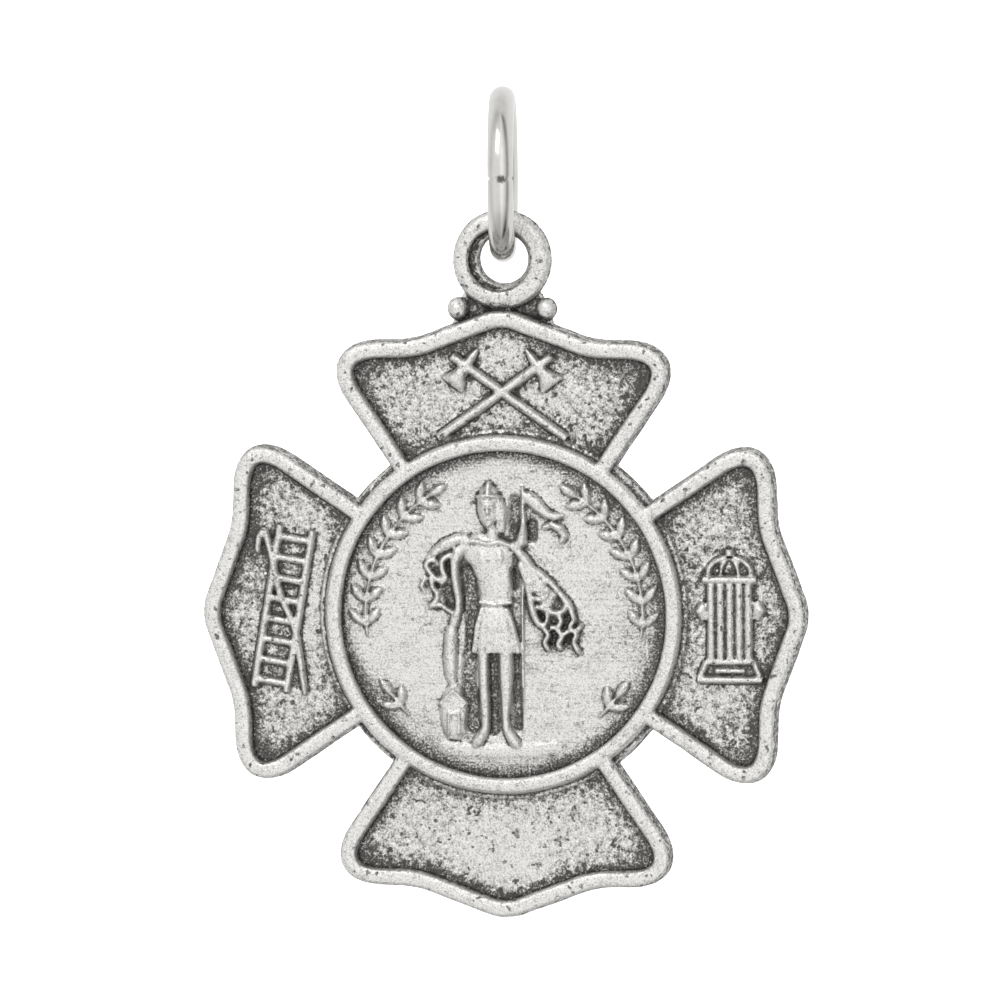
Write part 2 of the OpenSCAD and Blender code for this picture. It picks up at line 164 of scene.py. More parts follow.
# How the web rises to its front and draws in to its back. Columns: drawn in, rise
WEB_FRONT = [(0, 0.05), (0.12, 0.08)]
WEB_BACK = [(0.12, 0.6)]
BEAD_R = 0.35
BEAD_TALL = 1.1
BEAD_SIDES = 32
BEAD_PLACE = (1.48, 10.08, 0.24)

# Sides of a ridge: of the body, of the head and the pleats, and of the thin strokes
BODY_SIDES = 16
FORM_SIDES = 12
STROKE_SIDES = 10
# Share of its width and height that a stroke has left at its ends
STROKE_END = 0.6

# The relief is laid over the fields as ridges of metal.
# Columns of a row: across, up, half width, height over the field
BODY = {
    "hair": [(-0.42, 4.0, 0.2, 0.2), (-0.22, 3.8, 0.24, 0.24), (-0.1, 3.45, 0.25, 0.25),
             (-0.1, 3.05, 0.22, 0.22), (-0.06, 2.7, 0.15, 0.16)],
    "neck": [(-0.42, 3.05, 0.2, 0.2), (-0.36, 2.75, 0.2, 0.25), (-0.34, 2.4, 0.25, 0.27)],
    "torso": [
        (-0.45, 2.62, 0.35, 0.18), (-0.5, 2.42, 0.8, 0.26), (-0.55, 2.15, 0.93, 0.3),
        (-0.4, 1.75, 0.78, 0.33), (-0.3, 1.25, 0.66, 0.33), (-0.26, 0.8, 0.6, 0.31), (-0.26, 0.4, 0.56, 0.28),
    ],
    "shoulder_drape": [
        (-1.15, 2.54, 0.14, 0.26), (-1.55, 2.46, 0.22, 0.28), (-1.95, 2.28, 0.22, 0.27),
        (-2.3, 2.04, 0.15, 0.21), (-2.56, 1.82, 0.08, 0.12),
    ],
    "left_chest": [(-0.7, 2.2, 0.12, 0.3), (-0.68, 1.85, 0.25, 0.37), (-0.6, 1.5, 0.12, 0.3)],
    "right_chest": [(-0.1, 2.2, 0.12, 0.3), (-0.1, 1.85, 0.25, 0.37), (-0.14, 1.5, 0.12, 0.3)],
    "collar": [(-1.4, 2.36, 0.1, 0.27), (-0.95, 2.44, 0.13, 0.34), (-0.5, 2.34, 0.12, 0.36),
               (-0.1, 2.42, 0.13, 0.34), (0.3, 2.26, 0.1, 0.27)],
    "belt": [(-0.82, 0.42, 0.1, 0.27), (-0.26, 0.34, 0.11, 0.38), (0.3, 0.42, 0.1, 0.27)],
    "skirt": [(-0.3, 0.4, 0.46, 0.24), (-0.3, 0.15, 0.54, 0.31), (-0.28, -0.4, 0.68, 0.35),
              (-0.25, -1.0, 0.8, 0.33), (-0.25, -1.27, 0.8, 0.26)],
    "left_leg": [
        (-0.66, -1.0, 0.22, 0.26), (-0.68, -1.5, 0.19, 0.27), (-0.67, -2.2, 0.17, 0.27),
        (-0.65, -2.75, 0.19, 0.29), (-0.61, -3.35, 0.17, 0.28), (-0.61, -3.75, 0.16, 0.28),
        (-0.76, -4.03, 0.19, 0.26), (-0.92, -4.27, 0.19, 0.2), (-1.02, -4.42, 0.1, 0.12),
    ],
    "right_leg": [
        (0.06, -1.0, 0.26, 0.26), (0.06, -1.5, 0.24, 0.28), (0.08, -2.2, 0.25, 0.28),
        (0.08, -2.8, 0.2, 0.29), (0.05, -3.4, 0.15, 0.27), (0.07, -3.75, 0.17, 0.28),
        (0.22, -4.05, 0.19, 0.26), (0.38, -4.3, 0.19, 0.2), (0.48, -4.43, 0.1, 0.12),
    ],
    "lowered_arm": [
        (-1.15, 2.32, 0.25, 0.27), (-1.5, 2.05, 0.24, 0.31), (-1.62, 1.7, 0.18, 0.32),
        (-1.61, 1.3, 0.16, 0.31), (-1.56, 0.9, 0.15, 0.3), (-1.49, 0.5, 0.14, 0.29),
        (-1.5, 0.15, 0.14, 0.28), (-1.6, -0.1, 0.18, 0.28), (-1.67, -0.38, 0.15, 0.22),
    ],
    "raised_arm": [
        (0.28, 2.2, 0.2, 0.26), (0.5, 2.3, 0.19, 0.3), (0.62, 2.42, 0.21, 0.34), (0.66, 2.64, 0.18, 0.33),
        (0.68, 2.88, 0.12, 0.3), (0.69, 3.12, 0.09, 0.26), (0.67, 3.4, 0.07, 0.18),
    ],
    "cloak_edge": [
        (0.42, 2.2, 0.14, 0.24), (0.7, 1.85, 0.18, 0.28), (0.95, 1.5, 0.18, 0.28), (1.3, 1.3, 0.15, 0.27),
        (1.6, 1.05, 0.1, 0.24), (1.87, 0.73, 0.1, 0.24), (2.14, 0.38, 0.15, 0.28), (2.3, 0.12, 0.08, 0.22),
    ],
    "banner": [
        (0.66, 3.98, 0.12, 0.2), (0.84, 3.88, 0.22, 0.24), (1.06, 3.72, 0.25, 0.25), (1.28, 3.48, 0.2, 0.24),
        (1.5, 3.3, 0.15, 0.22), (1.76, 3.24, 0.14, 0.22), (2.02, 3.3, 0.07, 0.14),
    ],
    "banner_fold": [
        (1.3, 2.86, 0.07, 0.16), (1.6, 2.98, 0.12, 0.2), (1.9, 2.86, 0.16, 0.24), (2.05, 2.6, 0.15, 0.22),
        (1.9, 2.38, 0.09, 0.16),
    ],
    "water": [
        (-1.73, -0.4, 0.17, 0.2), (-1.76, -0.7, 0.22, 0.24), (-1.79, -1.5, 0.24, 0.25),
        (-1.77, -2.05, 0.21, 0.22), (-1.72, -2.3, 0.12, 0.15),
    ],
    "house": [(-1.66, -2.3, 0.14, 0.14), (-1.68, -2.62, 0.34, 0.2), (-1.68, -2.95, 0.5, 0.23),
              (-1.66, -3.4, 0.5, 0.24), (-1.66, -3.85, 0.42, 0.22), (-1.68, -4.15, 0.28, 0.14)],
    "cloak_body": [
        (0.6, 1.9, 0.12, 0.22), (0.85, 1.45, 0.28, 0.26), (1.15, 0.95, 0.36, 0.26), (1.46, 0.5, 0.42, 0.2),
        (1.75, -0.05, 0.55, 0.15), (1.88, -0.4, 0.5, 0.12), (1.95, -0.75, 0.4, 0.05),
    ],
    "left_cloak_body": [
        (-1.6, 2.2, 0.15, 0.1), (-1.95, 1.85, 0.28, 0.12), (-2.15, 1.35, 0.38, 0.12), (-2.1, 0.8, 0.34, 0.11),
        (-2.1, 0.35, 0.22, 0.08),
    ],
}

# Head and face, built up in the same way. The last column is the height that a ridge stands on
HEAD = [
    [(-0.48, 4.28, 0.16, 0.12, 0), (-0.48, 4.1, 0.33, 0.24, 0), (-0.48, 3.8, 0.41, 0.32, 0),
     (-0.48, 3.45, 0.4, 0.34, 0), (-0.47, 3.15, 0.33, 0.32, 0), (-0.46, 2.93, 0.2, 0.27, 0),
     (-0.46, 2.86, 0.1, 0.2, 0)],
    [(-0.89, 3.88, 0.05, 0.1, 0.14), (-0.7, 3.92, 0.07, 0.13, 0.24), (-0.48, 3.94, 0.07, 0.15, 0.28),
     (-0.25, 3.92, 0.07, 0.13, 0.24), (-0.06, 3.88, 0.05, 0.1, 0.14)],
    [(-0.48, 4.0, 0.08, 0.1, 0.26), (-0.48, 4.2, 0.1, 0.12, 0.2), (-0.46, 4.4, 0.1, 0.16, 0.06)],
    [(-0.7, 3.66, 0.05, 0.07, 0.29), (-0.58, 3.68, 0.05, 0.09, 0.31), (-0.48, 3.66, 0.04, 0.1, 0.31),
     (-0.37, 3.68, 0.05, 0.09, 0.31), (-0.25, 3.66, 0.05, 0.07, 0.29)],
    [(-0.48, 3.66, 0.04, 0.09, 0.31), (-0.48, 3.48, 0.05, 0.12, 0.32), (-0.48, 3.36, 0.08, 0.14, 0.32),
     (-0.48, 3.31, 0.06, 0.06, 0.32)],
    [(-0.66, 3.55, 0.035, 0.04, 0.3), (-0.6, 3.55, 0.05, 0.07, 0.31), (-0.54, 3.55, 0.03, 0.03, 0.31)],
    [(-0.42, 3.55, 0.03, 0.03, 0.31), (-0.35, 3.55, 0.05, 0.07, 0.31), (-0.29, 3.55, 0.035, 0.04, 0.3)],
    [(-0.58, 3.17, 0.03, 0.05, 0.29), (-0.48, 3.18, 0.04, 0.08, 0.31), (-0.38, 3.17, 0.03, 0.05, 0.29)],
    [(-0.48, 3.06, 0.08, 0.06, 0.27), (-0.47, 2.97, 0.09, 0.09, 0.26), (-0.47, 2.9, 0.05, 0.06, 0.24)],
]

# Pleats of the skirt, from the belt to the hem.
# Columns: middle, up, spread, half width, height of the middle pleat, how much of it the spread takes off
PLEATS = 7
PLEAT_ROWS = [
    (-0.3, 0.2, 0.85, 0.07, 0.3, 0.1),
    (-0.28, -0.4, 1.2, 0.1, 0.39, 0.2),
    (-0.25, -1.28, 1.5, 0.13, 0.34, 0.2),
]

# Ridges of one height that narrow at both ends.
# Columns: half width, height, then the places that the ridge runs through as across and up
CLOAK = [
    (0.12, 0.26, (-1.6, 2.4), (-1.9, 2.3), (-2.14, 2.1), (-2.4, 1.9)),
    (0.11, 0.25, (-1.66, 2.0), (-2.02, 1.8), (-2.02, 1.45), (-1.92, 1.2), (-2.1, 0.96)),
    (0.1, 0.24, (-1.95, 1.2), (-2.18, 1.12), (-2.4, 1.34), (-2.57, 1.6), (-2.42, 1.78), (-2.2, 1.74)),
    (0.1, 0.24, (-2.42, 1.3), (-2.36, 0.93), (-2.2, 0.68), (-2.26, 0.42), (-2.5, 0.2)),
    (0.09, 0.22, (-2.42, 0.26), (-2.12, 0.3), (-1.86, 0.16), (-1.7, 0.05)),
    (0.09, 0.2, (-2.6, 1.2), (-2.74, 0.94), (-2.6, 0.66)),
    (0.14, 0.3, (0.55, 1.75), (0.74, 1.25), (0.85, 0.82), (0.92, 0.42), (1.02, 0.02), (1.2, -0.3),
     (1.44, -0.38)),
    (0.11, 0.3, (0.84, 1.2), (0.94, 0.9), (1.16, 0.8), (1.34, 0.92), (1.36, 1.2)),
    (0.1, 0.3, (0.94, 0.6), (1.2, 0.5), (1.44, 0.62), (1.5, 0.9)),
    (0.14, 0.28, (1.04, 0.26), (1.3, 0.24), (1.52, 0.16)),
    (0.12, 0.3, (1.46, 0.16), (1.74, 0.06), (1.98, 0.12), (2.12, 0.36)),
    (0.1, 0.28, (1.44, 0.12), (1.46, -0.16), (1.34, -0.4), (1.5, -0.66), (1.38, -0.92), (1.54, -1.2)),
    (0.12, 0.28, (1.8, 0.05), (1.92, -0.2), (1.8, -0.46), (1.96, -0.7), (1.82, -0.94), (1.94, -1.16)),
    (0.1, 0.28, (2.22, 0.2), (2.34, -0.14), (2.2, -0.4), (2.42, -0.62), (2.34, -0.9), (2.56, -1.3)),
    (0.11, 0.26, (1.86, -0.42), (1.56, -0.42)),
    (0.1, 0.26, (2.6, -0.3), (2.44, -0.5), (2.2, -0.52), (2.0, -0.66)),
    (0.09, 0.24, (0.86, 1.7), (1.06, 1.3), (1.3, 1.02)),
]
STAFF = [
    (0.06, 0.2, (0.66, 4.24), (0.66, 3.1)),
    (0.06, 0.17, (0.64, 1.5), (0.63, 0.4), (0.63, -3.9)),
]
GROUND = [
    (0.26, 0.08, (-2.2, -4.4), (-1.4, -4.52), (-0.2, -4.56), (1.0, -4.5), (1.9, -4.36)),
]
HOUSE_TRIM = [
    (0.1, 0.3, (-2.18, -3.0), (-1.68, -2.52), (-1.18, -3.0)),
    (0.07, 0.3, (-1.84, -3.3), (-1.84, -4.0)),
    (0.07, 0.3, (-1.5, -3.3), (-1.5, -4.0)),
    (0.07, 0.31, (-1.88, -3.28), (-1.46, -3.28)),
]

# Fire axes of the top arm, one side of the pair
AXE_HANDLE = [(0.17, 0.3, (-2.1, -1.5), (-1.9, -1.36), (0.6, 0.42), (1.45, 1.03), (1.7, 1.2))]
AXE_HEAD = [
    [(1.2, 0.87, 0.22, 0.34), (1.4, 0.6, 0.25, 0.34), (1.56, 0.36, 0.4, 0.3), (1.68, 0.2, 0.52, 0.18)],
    [(1.24, 0.8, 0.22, 0.34), (0.98, 1.17, 0.15, 0.3), (0.8, 1.42, 0.05, 0.2)],
]
AXES_UP = 7.35

# Ladder and pike pole of the left arm
LADDER_PLACE = (-7.37, 0.14)
LADDER_LEAN = 9.8
LADDER_LONG = 5.45
LADDER_WIDE = 1.1
RUNGS = 8
# Place of the top rung over the middle and span of all the rungs, as shares of the ladder's length
TOP_RUNG = 0.43
RUNG_SPAN = 0.88
# Half width and height of a rail and of a rung
RAIL = (0.14, 0.24)
RUNG = (0.13, 0.22)
PIKE = [
    (0.13, 0.27, (-7.96, 2.84), (-7.72, 1.75), (-7.44, 0.55), (-7.02, -0.4), (-6.84, -1.3), (-6.65, -2.75)),
    (0.13, 0.25, (-7.94, 2.78), (-8.12, 2.6), (-8.2, 2.3), (-8.2, 1.95)),
]

# Hydrant of the right arm, about its own middle
HYDRANT_ACROSS = 7.51
HYDRANT = [
    (0.15, 0.28, (0, 2.2), (0, 2.0)),
    (0.1, 0.2, (-0.72, 1.36), (-0.67, 1.6), (-0.45, 1.82), (-0.1, 1.94)),
    (0.1, 0.2, (0.72, 1.36), (0.67, 1.6), (0.45, 1.82), (0.1, 1.94)),
    (0.09, 0.22, (-0.3, 1.36), (-0.25, 1.68), (-0.06, 1.92)),
    (0.09, 0.22, (0.3, 1.36), (0.25, 1.68), (0.06, 1.92)),
    (0.16, 0.28, (-0.9, 1.2), (0.9, 1.2)),
    (0.23, 0.26, (-0.84, 0.44), (-0.96, 0.16), (-0.84, -0.14)),
    (0.24, 0.26, (0.86, 0.5), (0.99, 0.2), (0.86, -0.1)),
    (0.12, 0.22, (-0.78, -1.5), (0.78, -1.5)),
    (0.12, 0.22, (-0.78, -1.5), (-1.02, -2.05)),
    (0.12, 0.22, (0.78, -1.5), (1.02, -2.05)),
    (0.13, 0.24, (-1.08, -2.1), (1.08, -2.1)),
    (0.1, 0.18, (-0.5, -1.8), (0.5, -1.8)),
]
HYDRANT_RIBS = (-0.62, -0.31, 0, 0.31, 0.62)
# Half width and height of a rib, and its ends
RIB = (0.145, 0.24)
RIB_TOP = 1.02
RIB_FOOT = -1.4

# Laurel sprigs of the disc, on the left side: angles of their foot and tip, pairs of leaves
WREATH_R = 4.62
SPRIGS = [(190, 123, 7), (227, 217, 1)]
STEM = (0.05, 0.14)
STEM_STEPS = 10
# Degrees between a leaf and the line out from the disc's centre, in a pair and at the tip
PAIR_LEANS = (-48, -132)
TIP_LEAN = -90
LEAF_LONG = 0.8
LEAF_WIDE = 0.36
# Columns: share of the leaf's length, share of its width, height
LEAF_ROWS = [(0, 0.05, 0.07), (0.3, 0.4, 0.18), (0.6, 0.5, 0.22), (0.85, 0.25, 0.15), (1, 0.05, 0.06)]

# Mesh of the casting, and the low waves of its hand-finished surface
VOXEL = 0.04
CASTING_TRIANGLES = 190_000
WAVE_SIZE = 1.1
WAVE_HEIGHT = 0.04
SHARP_ANGLE = 60

# Balls that stand for the polishing cloth, over the bare form and over its relief.
# What they can't reach stays dark: oxide, with painted shade added near the walls and at the feet of the
# relief.
# Columns: radius, depth where the dark begins, depth where it is full, how dark that is
FORM_CLOTHS = [(1.5, 0.0, 0.32, 0.9), (6.0, 0.0, 0.5, 0.42)]
RELIEF_CLOTHS = [(0.5, 0.04, 0.2, 0.75)]
# Depths of a crevice that begins to hold oxide and painted shade, and that does so fully; then the same for
# black oxide and painted shade
CREVICE = (0.008, 0.032)
BLACK_CREVICE = (0.03, 0.06)
CREVICE_BLUR = 4

# Grid of points over the bench, where the front is felt for from above to find its height
GRID_PITCH = 0.04
GRID_MARGIN = 2.5
GRID_LOW = np.array([-DISC_Z / 2, -DISC_Z * 0.7]) - GRID_MARGIN
GRID_TOP = LOOP_HEIGHT + LOOP_OUTER + GRID_MARGIN
FEELER_HEIGHT = 3

# The outer sides: oxide and painted shade on them, how far out and how deep the open bench is felt for,
# and how much their normals face the front where that darkening ends and where it is full
SIDE_OXIDE_AND_SHADE = 0.65
SIDE_FEEL = 0.3
SIDE_DROP = 0.1
SIDE_SLOPE = (0.6, 0.25)
# The oxide and painted shade end where a normal faces the back by one part in this
BACK_WIPED = 2

# Places that were wiped less, or more. Columns: across, up, reach, oxide added
WIPED = [
    (-8.2, 1.5, 3.2, 0.26), (-7.6, -2.6, 2.6, 0.1), (7.4, 3.0, 2.4, 0.14), (7.6, -2.9, 2.2, 0.1),
    (8.8, -0.6, 1.8, 0.2), (3.6, 7.4, 2.4, 0.18), (-3.2, 7.2, 2.0, 0.08), (4.6, -0.5, 2.2, 0.14),
    (-5.2, 0.4, 3.0, -0.6), (0, 5.0, 2.2, -0.25), (0, -5.2, 2.5, -0.05), (0, -8.3, 2.4, -0.12),
]

# Hollows in and beside the figure, where oxide and painted shade lie thick.
# Columns: across and up of one end, across and up of the other, half width
HOLLOWS = [
    (-1.22, 1.45, -1.16, 1.1, 0.2), (-1.14, 1.1, -1.1, 0.2, 0.25), (-1.08, 0.2, -1.14, -1.4, 0.17),
    (-1.16, -1.4, -1.2, -2.6, 0.22), (-1.04, -2.6, -1.08, -3.5, 0.2), (-1.07, -3.6, -1.05, -3.65, 0.26),
    (-0.36, -1.55, -0.36, -3.85, 0.15), (0.42, -1.4, 0.42, -2.5, 0.1), (0.44, -2.5, 0.47, -3.7, 0.14),
    (0.3, 1.45, 0.38, 0.9, 0.1), (0.38, 3.8, 0.38, 2.8, 0.16), (0.95, 3.0, 0.95, 2.55, 0.16),
    (-1.85, 1.62, -1.83, 1.4, 0.14), (-1.92, 0.85, -1.76, 0.3, 0.17), (-2.26, 1.46, -2.24, 1.38, 0.12),
    (-2.24, 0.92, -2.22, 0.9, 0.1), (1.08, 0.96, 1.06, 0.9, 0.07),
    (1.76, 0.42, 1.7, 0.3, 0.18), (1.2, -0.06, 1.3, -0.12, 0.15), (1.64, -0.2, 1.66, -0.22, 0.13),
    (2.12, -0.14, 2.08, -0.3, 0.17), (1.66, -0.62, 1.64, -0.9, 0.11), (2.12, -0.74, 2.1, -0.86, 0.12),
]
HOLLOW_DEPTH = 0.13
HOLLOW_EDGE = 0.08
HOLLOW_OXIDE_AND_SHADE = 0.64
# Heights over the field where the wiping, the pressing and the darkening end, and where each is full
WIPED_OVER = (0.3, 0.1)
PRESSED_OVER = (0.25, 0.1)
DARK_OVER = (0.2, 0.05)

# Grain of the silver. Columns: repeats to the metre, detail, roughness
CLOUDS = (1300, 3, 0.6)
LUMPS = (5200, 2, 0.55)
GRAIN = (14000, 2, 0.7)
BRUSHED = (17000, 2, 0.6)
PITS = (4300, 1, 0.5)
DULL_GRAIN = (21000, 2, 0.7)
WIRE_MARKS = (3000, 4, 0.6)
SPOT_GRAIN = (9000, 2, 0.6)

# How much each grain moves the oxide and painted shade, and how much more where they lie or are half wiped
# away
OXIDE_OVER_ALL = 0.09
GRAIN_MOVES = 1.9
GRAIN_IN_OXIDE = 1.6
LUMPS_MOVE = 0.35
LUMPS_HALF_WIPED = 2.1
CLOUDS_MOVE = 0.5
BRUSH_MOVES = 0.8
BRUSH_ON_DISC = 1.2
BRUSH_STRETCH = 0.035
PIT_OXIDE = 0.6
PIT_NOISE = (-0.15, -0.21)
DULL_NOISE = (0.02, -0.2)
ARM_SHARE_ON_DISC = 0.3
OXIDE_CONTRAST = (0.04, 0.96)
# Bump from the lumps, the grain and the pits, its strength, and its height
BUMP_PARTS = (-1.0, 0.8, -0.6)
BUMP_STRENGTH = 0.8
BUMP_HEIGHT = 0.04
# Depths behind the casting's middle between which a rim gives way to a field
FIELD_DEPTHS = (-0.6, -0.4)
# Metallic and roughness, for bare silver and for the oxide and painted shade
METALLIC = (1.0, 0.3)
ROUGHNESS = (0.36, 0.6)
WIRE_ROUGHNESS = (0.1, 0.26)

RIM_SILVER = (0.86, 0.85, 0.83)
FIELD_SILVER = (0.83, 0.82, 0.8)
DULL_SILVER = (0.45, 0.44, 0.42)
# Colour of the oxide, which also paints shade near walls, in hollows, in creases and on the outer sides
OXIDE_AND_SHADE = (0.075, 0.072, 0.066)
# Colour of the black oxide and painted shade in creases
BLACK_OXIDE_AND_SHADE = (0.02, 0.019, 0.017)
WIRE_DARK = (0.6, 0.59, 0.57)
WIRE_LIGHT = (0.74, 0.73, 0.71)
SOLDER = (0.12, 0.11, 0.1)

# Dark spot of solder on the seam: its place to the right, how much lower than wide it is,
# how much its edge wanders, where it fades out and where it is full
SPOT_ACROSS = 0.04
SPOT_FLAT = 1.3
SPOT_WANDER = 0.2
SPOT_EDGE = (0.22, 0.08)

# Camera: metres and degrees, the photo's scale in its own pixels, and where the disc's centre lies in it
CAMERA_DISTANCE = 0.35
CAMERA_AZIMUTH = 9
CAMERA_ELEVATION = 5
CAMERA_ROLL = 0.4
PHOTO_PIXELS = 1000
PIXELS_PER_MM = 30.4
DISC_PIXEL = (502, 615.5)
SENSOR_MM = 36
CAMERA_SEES = 10

# Studio, in metres and watts
BOWL_FLOOR_R = 0.25
BOWL_FLOOR_Z = -0.16
BOWL_R = 0.62
BOWL_HEIGHT = 0.5
BOWL_STEPS = 16
BOWL_SIDES = 96
PAPER = (0.92, 0.92, 0.92, 1)
PAPER_ROUGHNESS = 0.9
# Light of the sky at its sides, and what is added straight above and below
SKY = 1.0
SKY_ABOVE = -0.2
SKY_BELOW = -0.45
# White and black screens round the medal. Columns: degrees to the right of its front, half width, light added
SCREENS = [(22, 26, 0.3), (76, 32, -0.6), (-84, 36, -0.22)]
# Columns: name, place, what it faces, size, power
LIGHTS = [
    ("backdrop", (0, 0.12, 0.32), (0, 0.62, -0.05), 0.3, 3),
    ("key", (-0.12, -0.3, 0.32), (0, 0, -0.02), 0.2, 0.4),
]


def put_down():
    """Leaves edit mode and lets go of every object."""
    if bpy.context.mode != "OBJECT":
        bpy.ops.object.mode_set(mode="OBJECT")
    bpy.ops.object.select_all(action="DESELECT")


def take(pieces):
    """Selects the pieces, with the first one active."""
    put_down()
    for piece in pieces:
        piece.select_set(True)
    bpy.context.view_layer.objects.active = pieces[0]


def pick(kind, test):
    """Selects in edit mode the vertices, edges or faces that pass a test."""
    bpy.ops.mesh.select_mode(type={"verts": "VERT", "edges": "EDGE", "faces": "FACE"}[kind])
    bpy.ops.mesh.select_all(action="DESELECT")
    mesh = bmesh.from_edit_mesh(bpy.context.object.data)
    for part in getattr(mesh, kind):
        if test(part):
            part.select_set(True)
    bmesh.update_edit_mesh(bpy.context.object.data)


def turn_about(place, degrees):
    """Turns what is selected about the upright line through a place."""
    # With no window the operator turns the other way.
    bpy.ops.transform.rotate(value=-math.radians(degrees), orient_axis="Z", center_override=place)


def add_modifier(piece, kind, **settings):
    """Gives a piece a modifier and applies it."""
    take([piece])
    modifier = piece.modifiers.new(kind.title(), kind)
    for name, value in settings.items():
        setattr(modifier, name, value)
    bpy.ops.object.modifier_apply(modifier=modifier.name)


def trace(corners, fill):
    """Draws a line through the corners by extruding one vertex, and fills it if asked, in edit mode."""
    corners = [Vector(corner) for corner in corners]
    put_down()
    bpy.ops.mesh.primitive_plane_add(size=1, enter_editmode=True, location=(0, 0, 0))
    bpy.ops.mesh.select_mode(type="VERT")
    bpy.ops.mesh.select_all(action="SELECT")
    bpy.ops.mesh.merge(type="CENTER")
    bpy.ops.transform.translate(value=corners[0])
    for here, there in zip(corners, corners[1:]):
        bpy.ops.mesh.extrude_vertices_move(TRANSFORM_OT_translate={"value": there - here})
    bpy.ops.mesh.select_all(action="SELECT")
    bpy.ops.mesh.edge_face_add()
    if not fill:
        bpy.ops.mesh.delete(type="ONLY_FACE")
        bpy.ops.mesh.select_all(action="SELECT")
        return
    mesh = bmesh.from_edit_mesh(bpy.context.object.data)
    mesh.faces.ensure_lookup_table()
    mesh.normal_update()
    if mesh.faces[0].normal.z < 0:
        bpy.ops.mesh.flip_normals()


def raise_face(rows):
    """Raises the selected face through rows of how far it is drawn in and how far it rises."""
    for drawn_in, rise in rows:
        if drawn_in:
            bpy.ops.mesh.inset(thickness=drawn_in, depth=rise)
        else:
            bpy.ops.mesh.extrude_region_move(TRANSFORM_OT_translate={"value": (0, 0, rise)})


def steps_of(rows, start):
    """Turns rows of distance and height, from a start row, into how much each one adds."""
    rows = [start] + rows
    return [(there[0] - here[0], there[1] - here[1]) for here, there in zip(rows, rows[1:])]


def thicken():
    """Turns the flat outline at the widest level into a thin plate, and selects its front."""
    pick("faces", lambda face: True)
    bpy.ops.mesh.extrude_region_move(TRANSFORM_OT_translate={"value": (0, 0, -PLATE_THICK)})
    bpy.ops.mesh.select_all(action="SELECT")
    bpy.ops.mesh.normals_make_consistent(inside=False)
    pick("faces", lambda face: face.normal.z > FACING)


def finish_back(rows):
    """Draws the sides in towards the flat back."""
    pick("faces", lambda face: face.normal.z < -FACING)
    raise_face(rows)


def make_arm():
    """One flared arm with its rim, pointing up."""
    corners = ARM_CORNERS + [(-across, out, *rest) for across, out, *rest in reversed(ARM_CORNERS[1:])]
    trace([(across, out, WIDEST) for across, out, *rest in corners], fill=True)
    for i, (across, out, radius, steps) in enumerate(corners):
        if not radius:
            continue
        here = Vector((across, out, WIDEST))
        before = Vector((*corners[i - 1][:2], WIDEST))
        after = Vector((*corners[(i + 1) % len(corners)][:2], WIDEST))
        half_turn = (before - here).angle(after - here) / 2
        pick("verts", lambda vert: (vert.co - here).length < SAME_PLACE)
        bpy.ops.mesh.bevel(offset=radius / math.tan(half_turn), segments=steps, affect="VERTICES")
    thicken()
    rows = [(share * RIM_W, height) for share, height in ARM_LAYERS]
    raise_face(steps_of(rows, (0, WIDEST)))
    finish_back(BACK_DRAFT)
    put_down()
    return bpy.context.object


def make_arms():
    """The four arms, with the disc's place cut out of them."""
    arm = make_arm()
    put_down()
    bpy.ops.mesh.primitive_cylinder_add(vertices=CUTTER_SIDES, radius=DISC_CREST_R, depth=CUTTER_DEPTH)
    cutter = bpy.context.object
    add_modifier(arm, "BOOLEAN", operation="DIFFERENCE", object=cutter, solver="EXACT")
    bpy.data.objects.remove(cutter)
    arms = [arm]
    for quarter in (1, 2, 3):
        take([arm])
        bpy.ops.object.duplicate()
        bpy.context.object.rotation_euler.z = math.radians(90 * quarter)
        arms.append(bpy.context.object)
    return arms


def make_disc():
    """The disc with its round rim."""
    put_down()
    bpy.ops.mesh.primitive_circle_add(
        vertices=DISC_SIDES, radius=DISC_R, fill_type="NGON", enter_editmode=True, location=(0, 0, WIDEST)
    )
    thicken()
    rows = [(DISC_R - radius, height) for radius, height in DISC_LAYERS]
    raise_face(steps_of(rows, (0, WIDEST)))
    finish_back(BACK_DRAFT)
    put_down()
    return bpy.context.object


def make_loop():
    """The hanging loop: its section spun round, with the mouth moved aside."""
    def in_mouth(vert):
        return vert.co.z > MOUTH_FLOOR and math.hypot(vert.co.x, vert.co.y - LOOP_HEIGHT) < MOUTH_REACH

    trace([(radius, 0, height) for radius, height in LOOP_SECTION], fill=False)
    bpy.ops.mesh.spin(steps=LOOP_SIDES, angle=math.tau, center=(0, 0, 0), axis=(0, 0, 1))
    bpy.ops.mesh.select_all(action="SELECT")
    bpy.ops.mesh.remove_doubles(threshold=SAME_PLACE)
    bpy.ops.mesh.normals_make_consistent(inside=False)
    bpy.ops.transform.translate(value=(0, LOOP_HEIGHT, 0))
    pick("verts", in_mouth)
    bpy.ops.transform.translate(value=(MOUTH_SHIFT, 0, 0))
    put_down()
    return bpy.context.object


def make_web():
    """The low web below the loop, and its two beads."""
    trace([(across, out, WIDEST) for across, out in WEB_CORNERS], fill=True)
    thicken()
    raise_face(WEB_FRONT)
    finish_back(WEB_BACK)
    put_down()
    pieces = [bpy.context.object]
    across, out, height = BEAD_PLACE
    for side in (-1, 1):
        put_down()
        bpy.ops.mesh.primitive_uv_sphere_add(
            segments=BEAD_SIDES, ring_count=BEAD_SIDES // 2, radius=BEAD_R, enter_editmode=True,
            location=(side * across, out, height),
        )
        bpy.ops.transform.resize(value=(1, BEAD_TALL, 1), center_override=(side * across, out, 0))
        put_down()
        pieces.append(bpy.context.object)
    return pieces


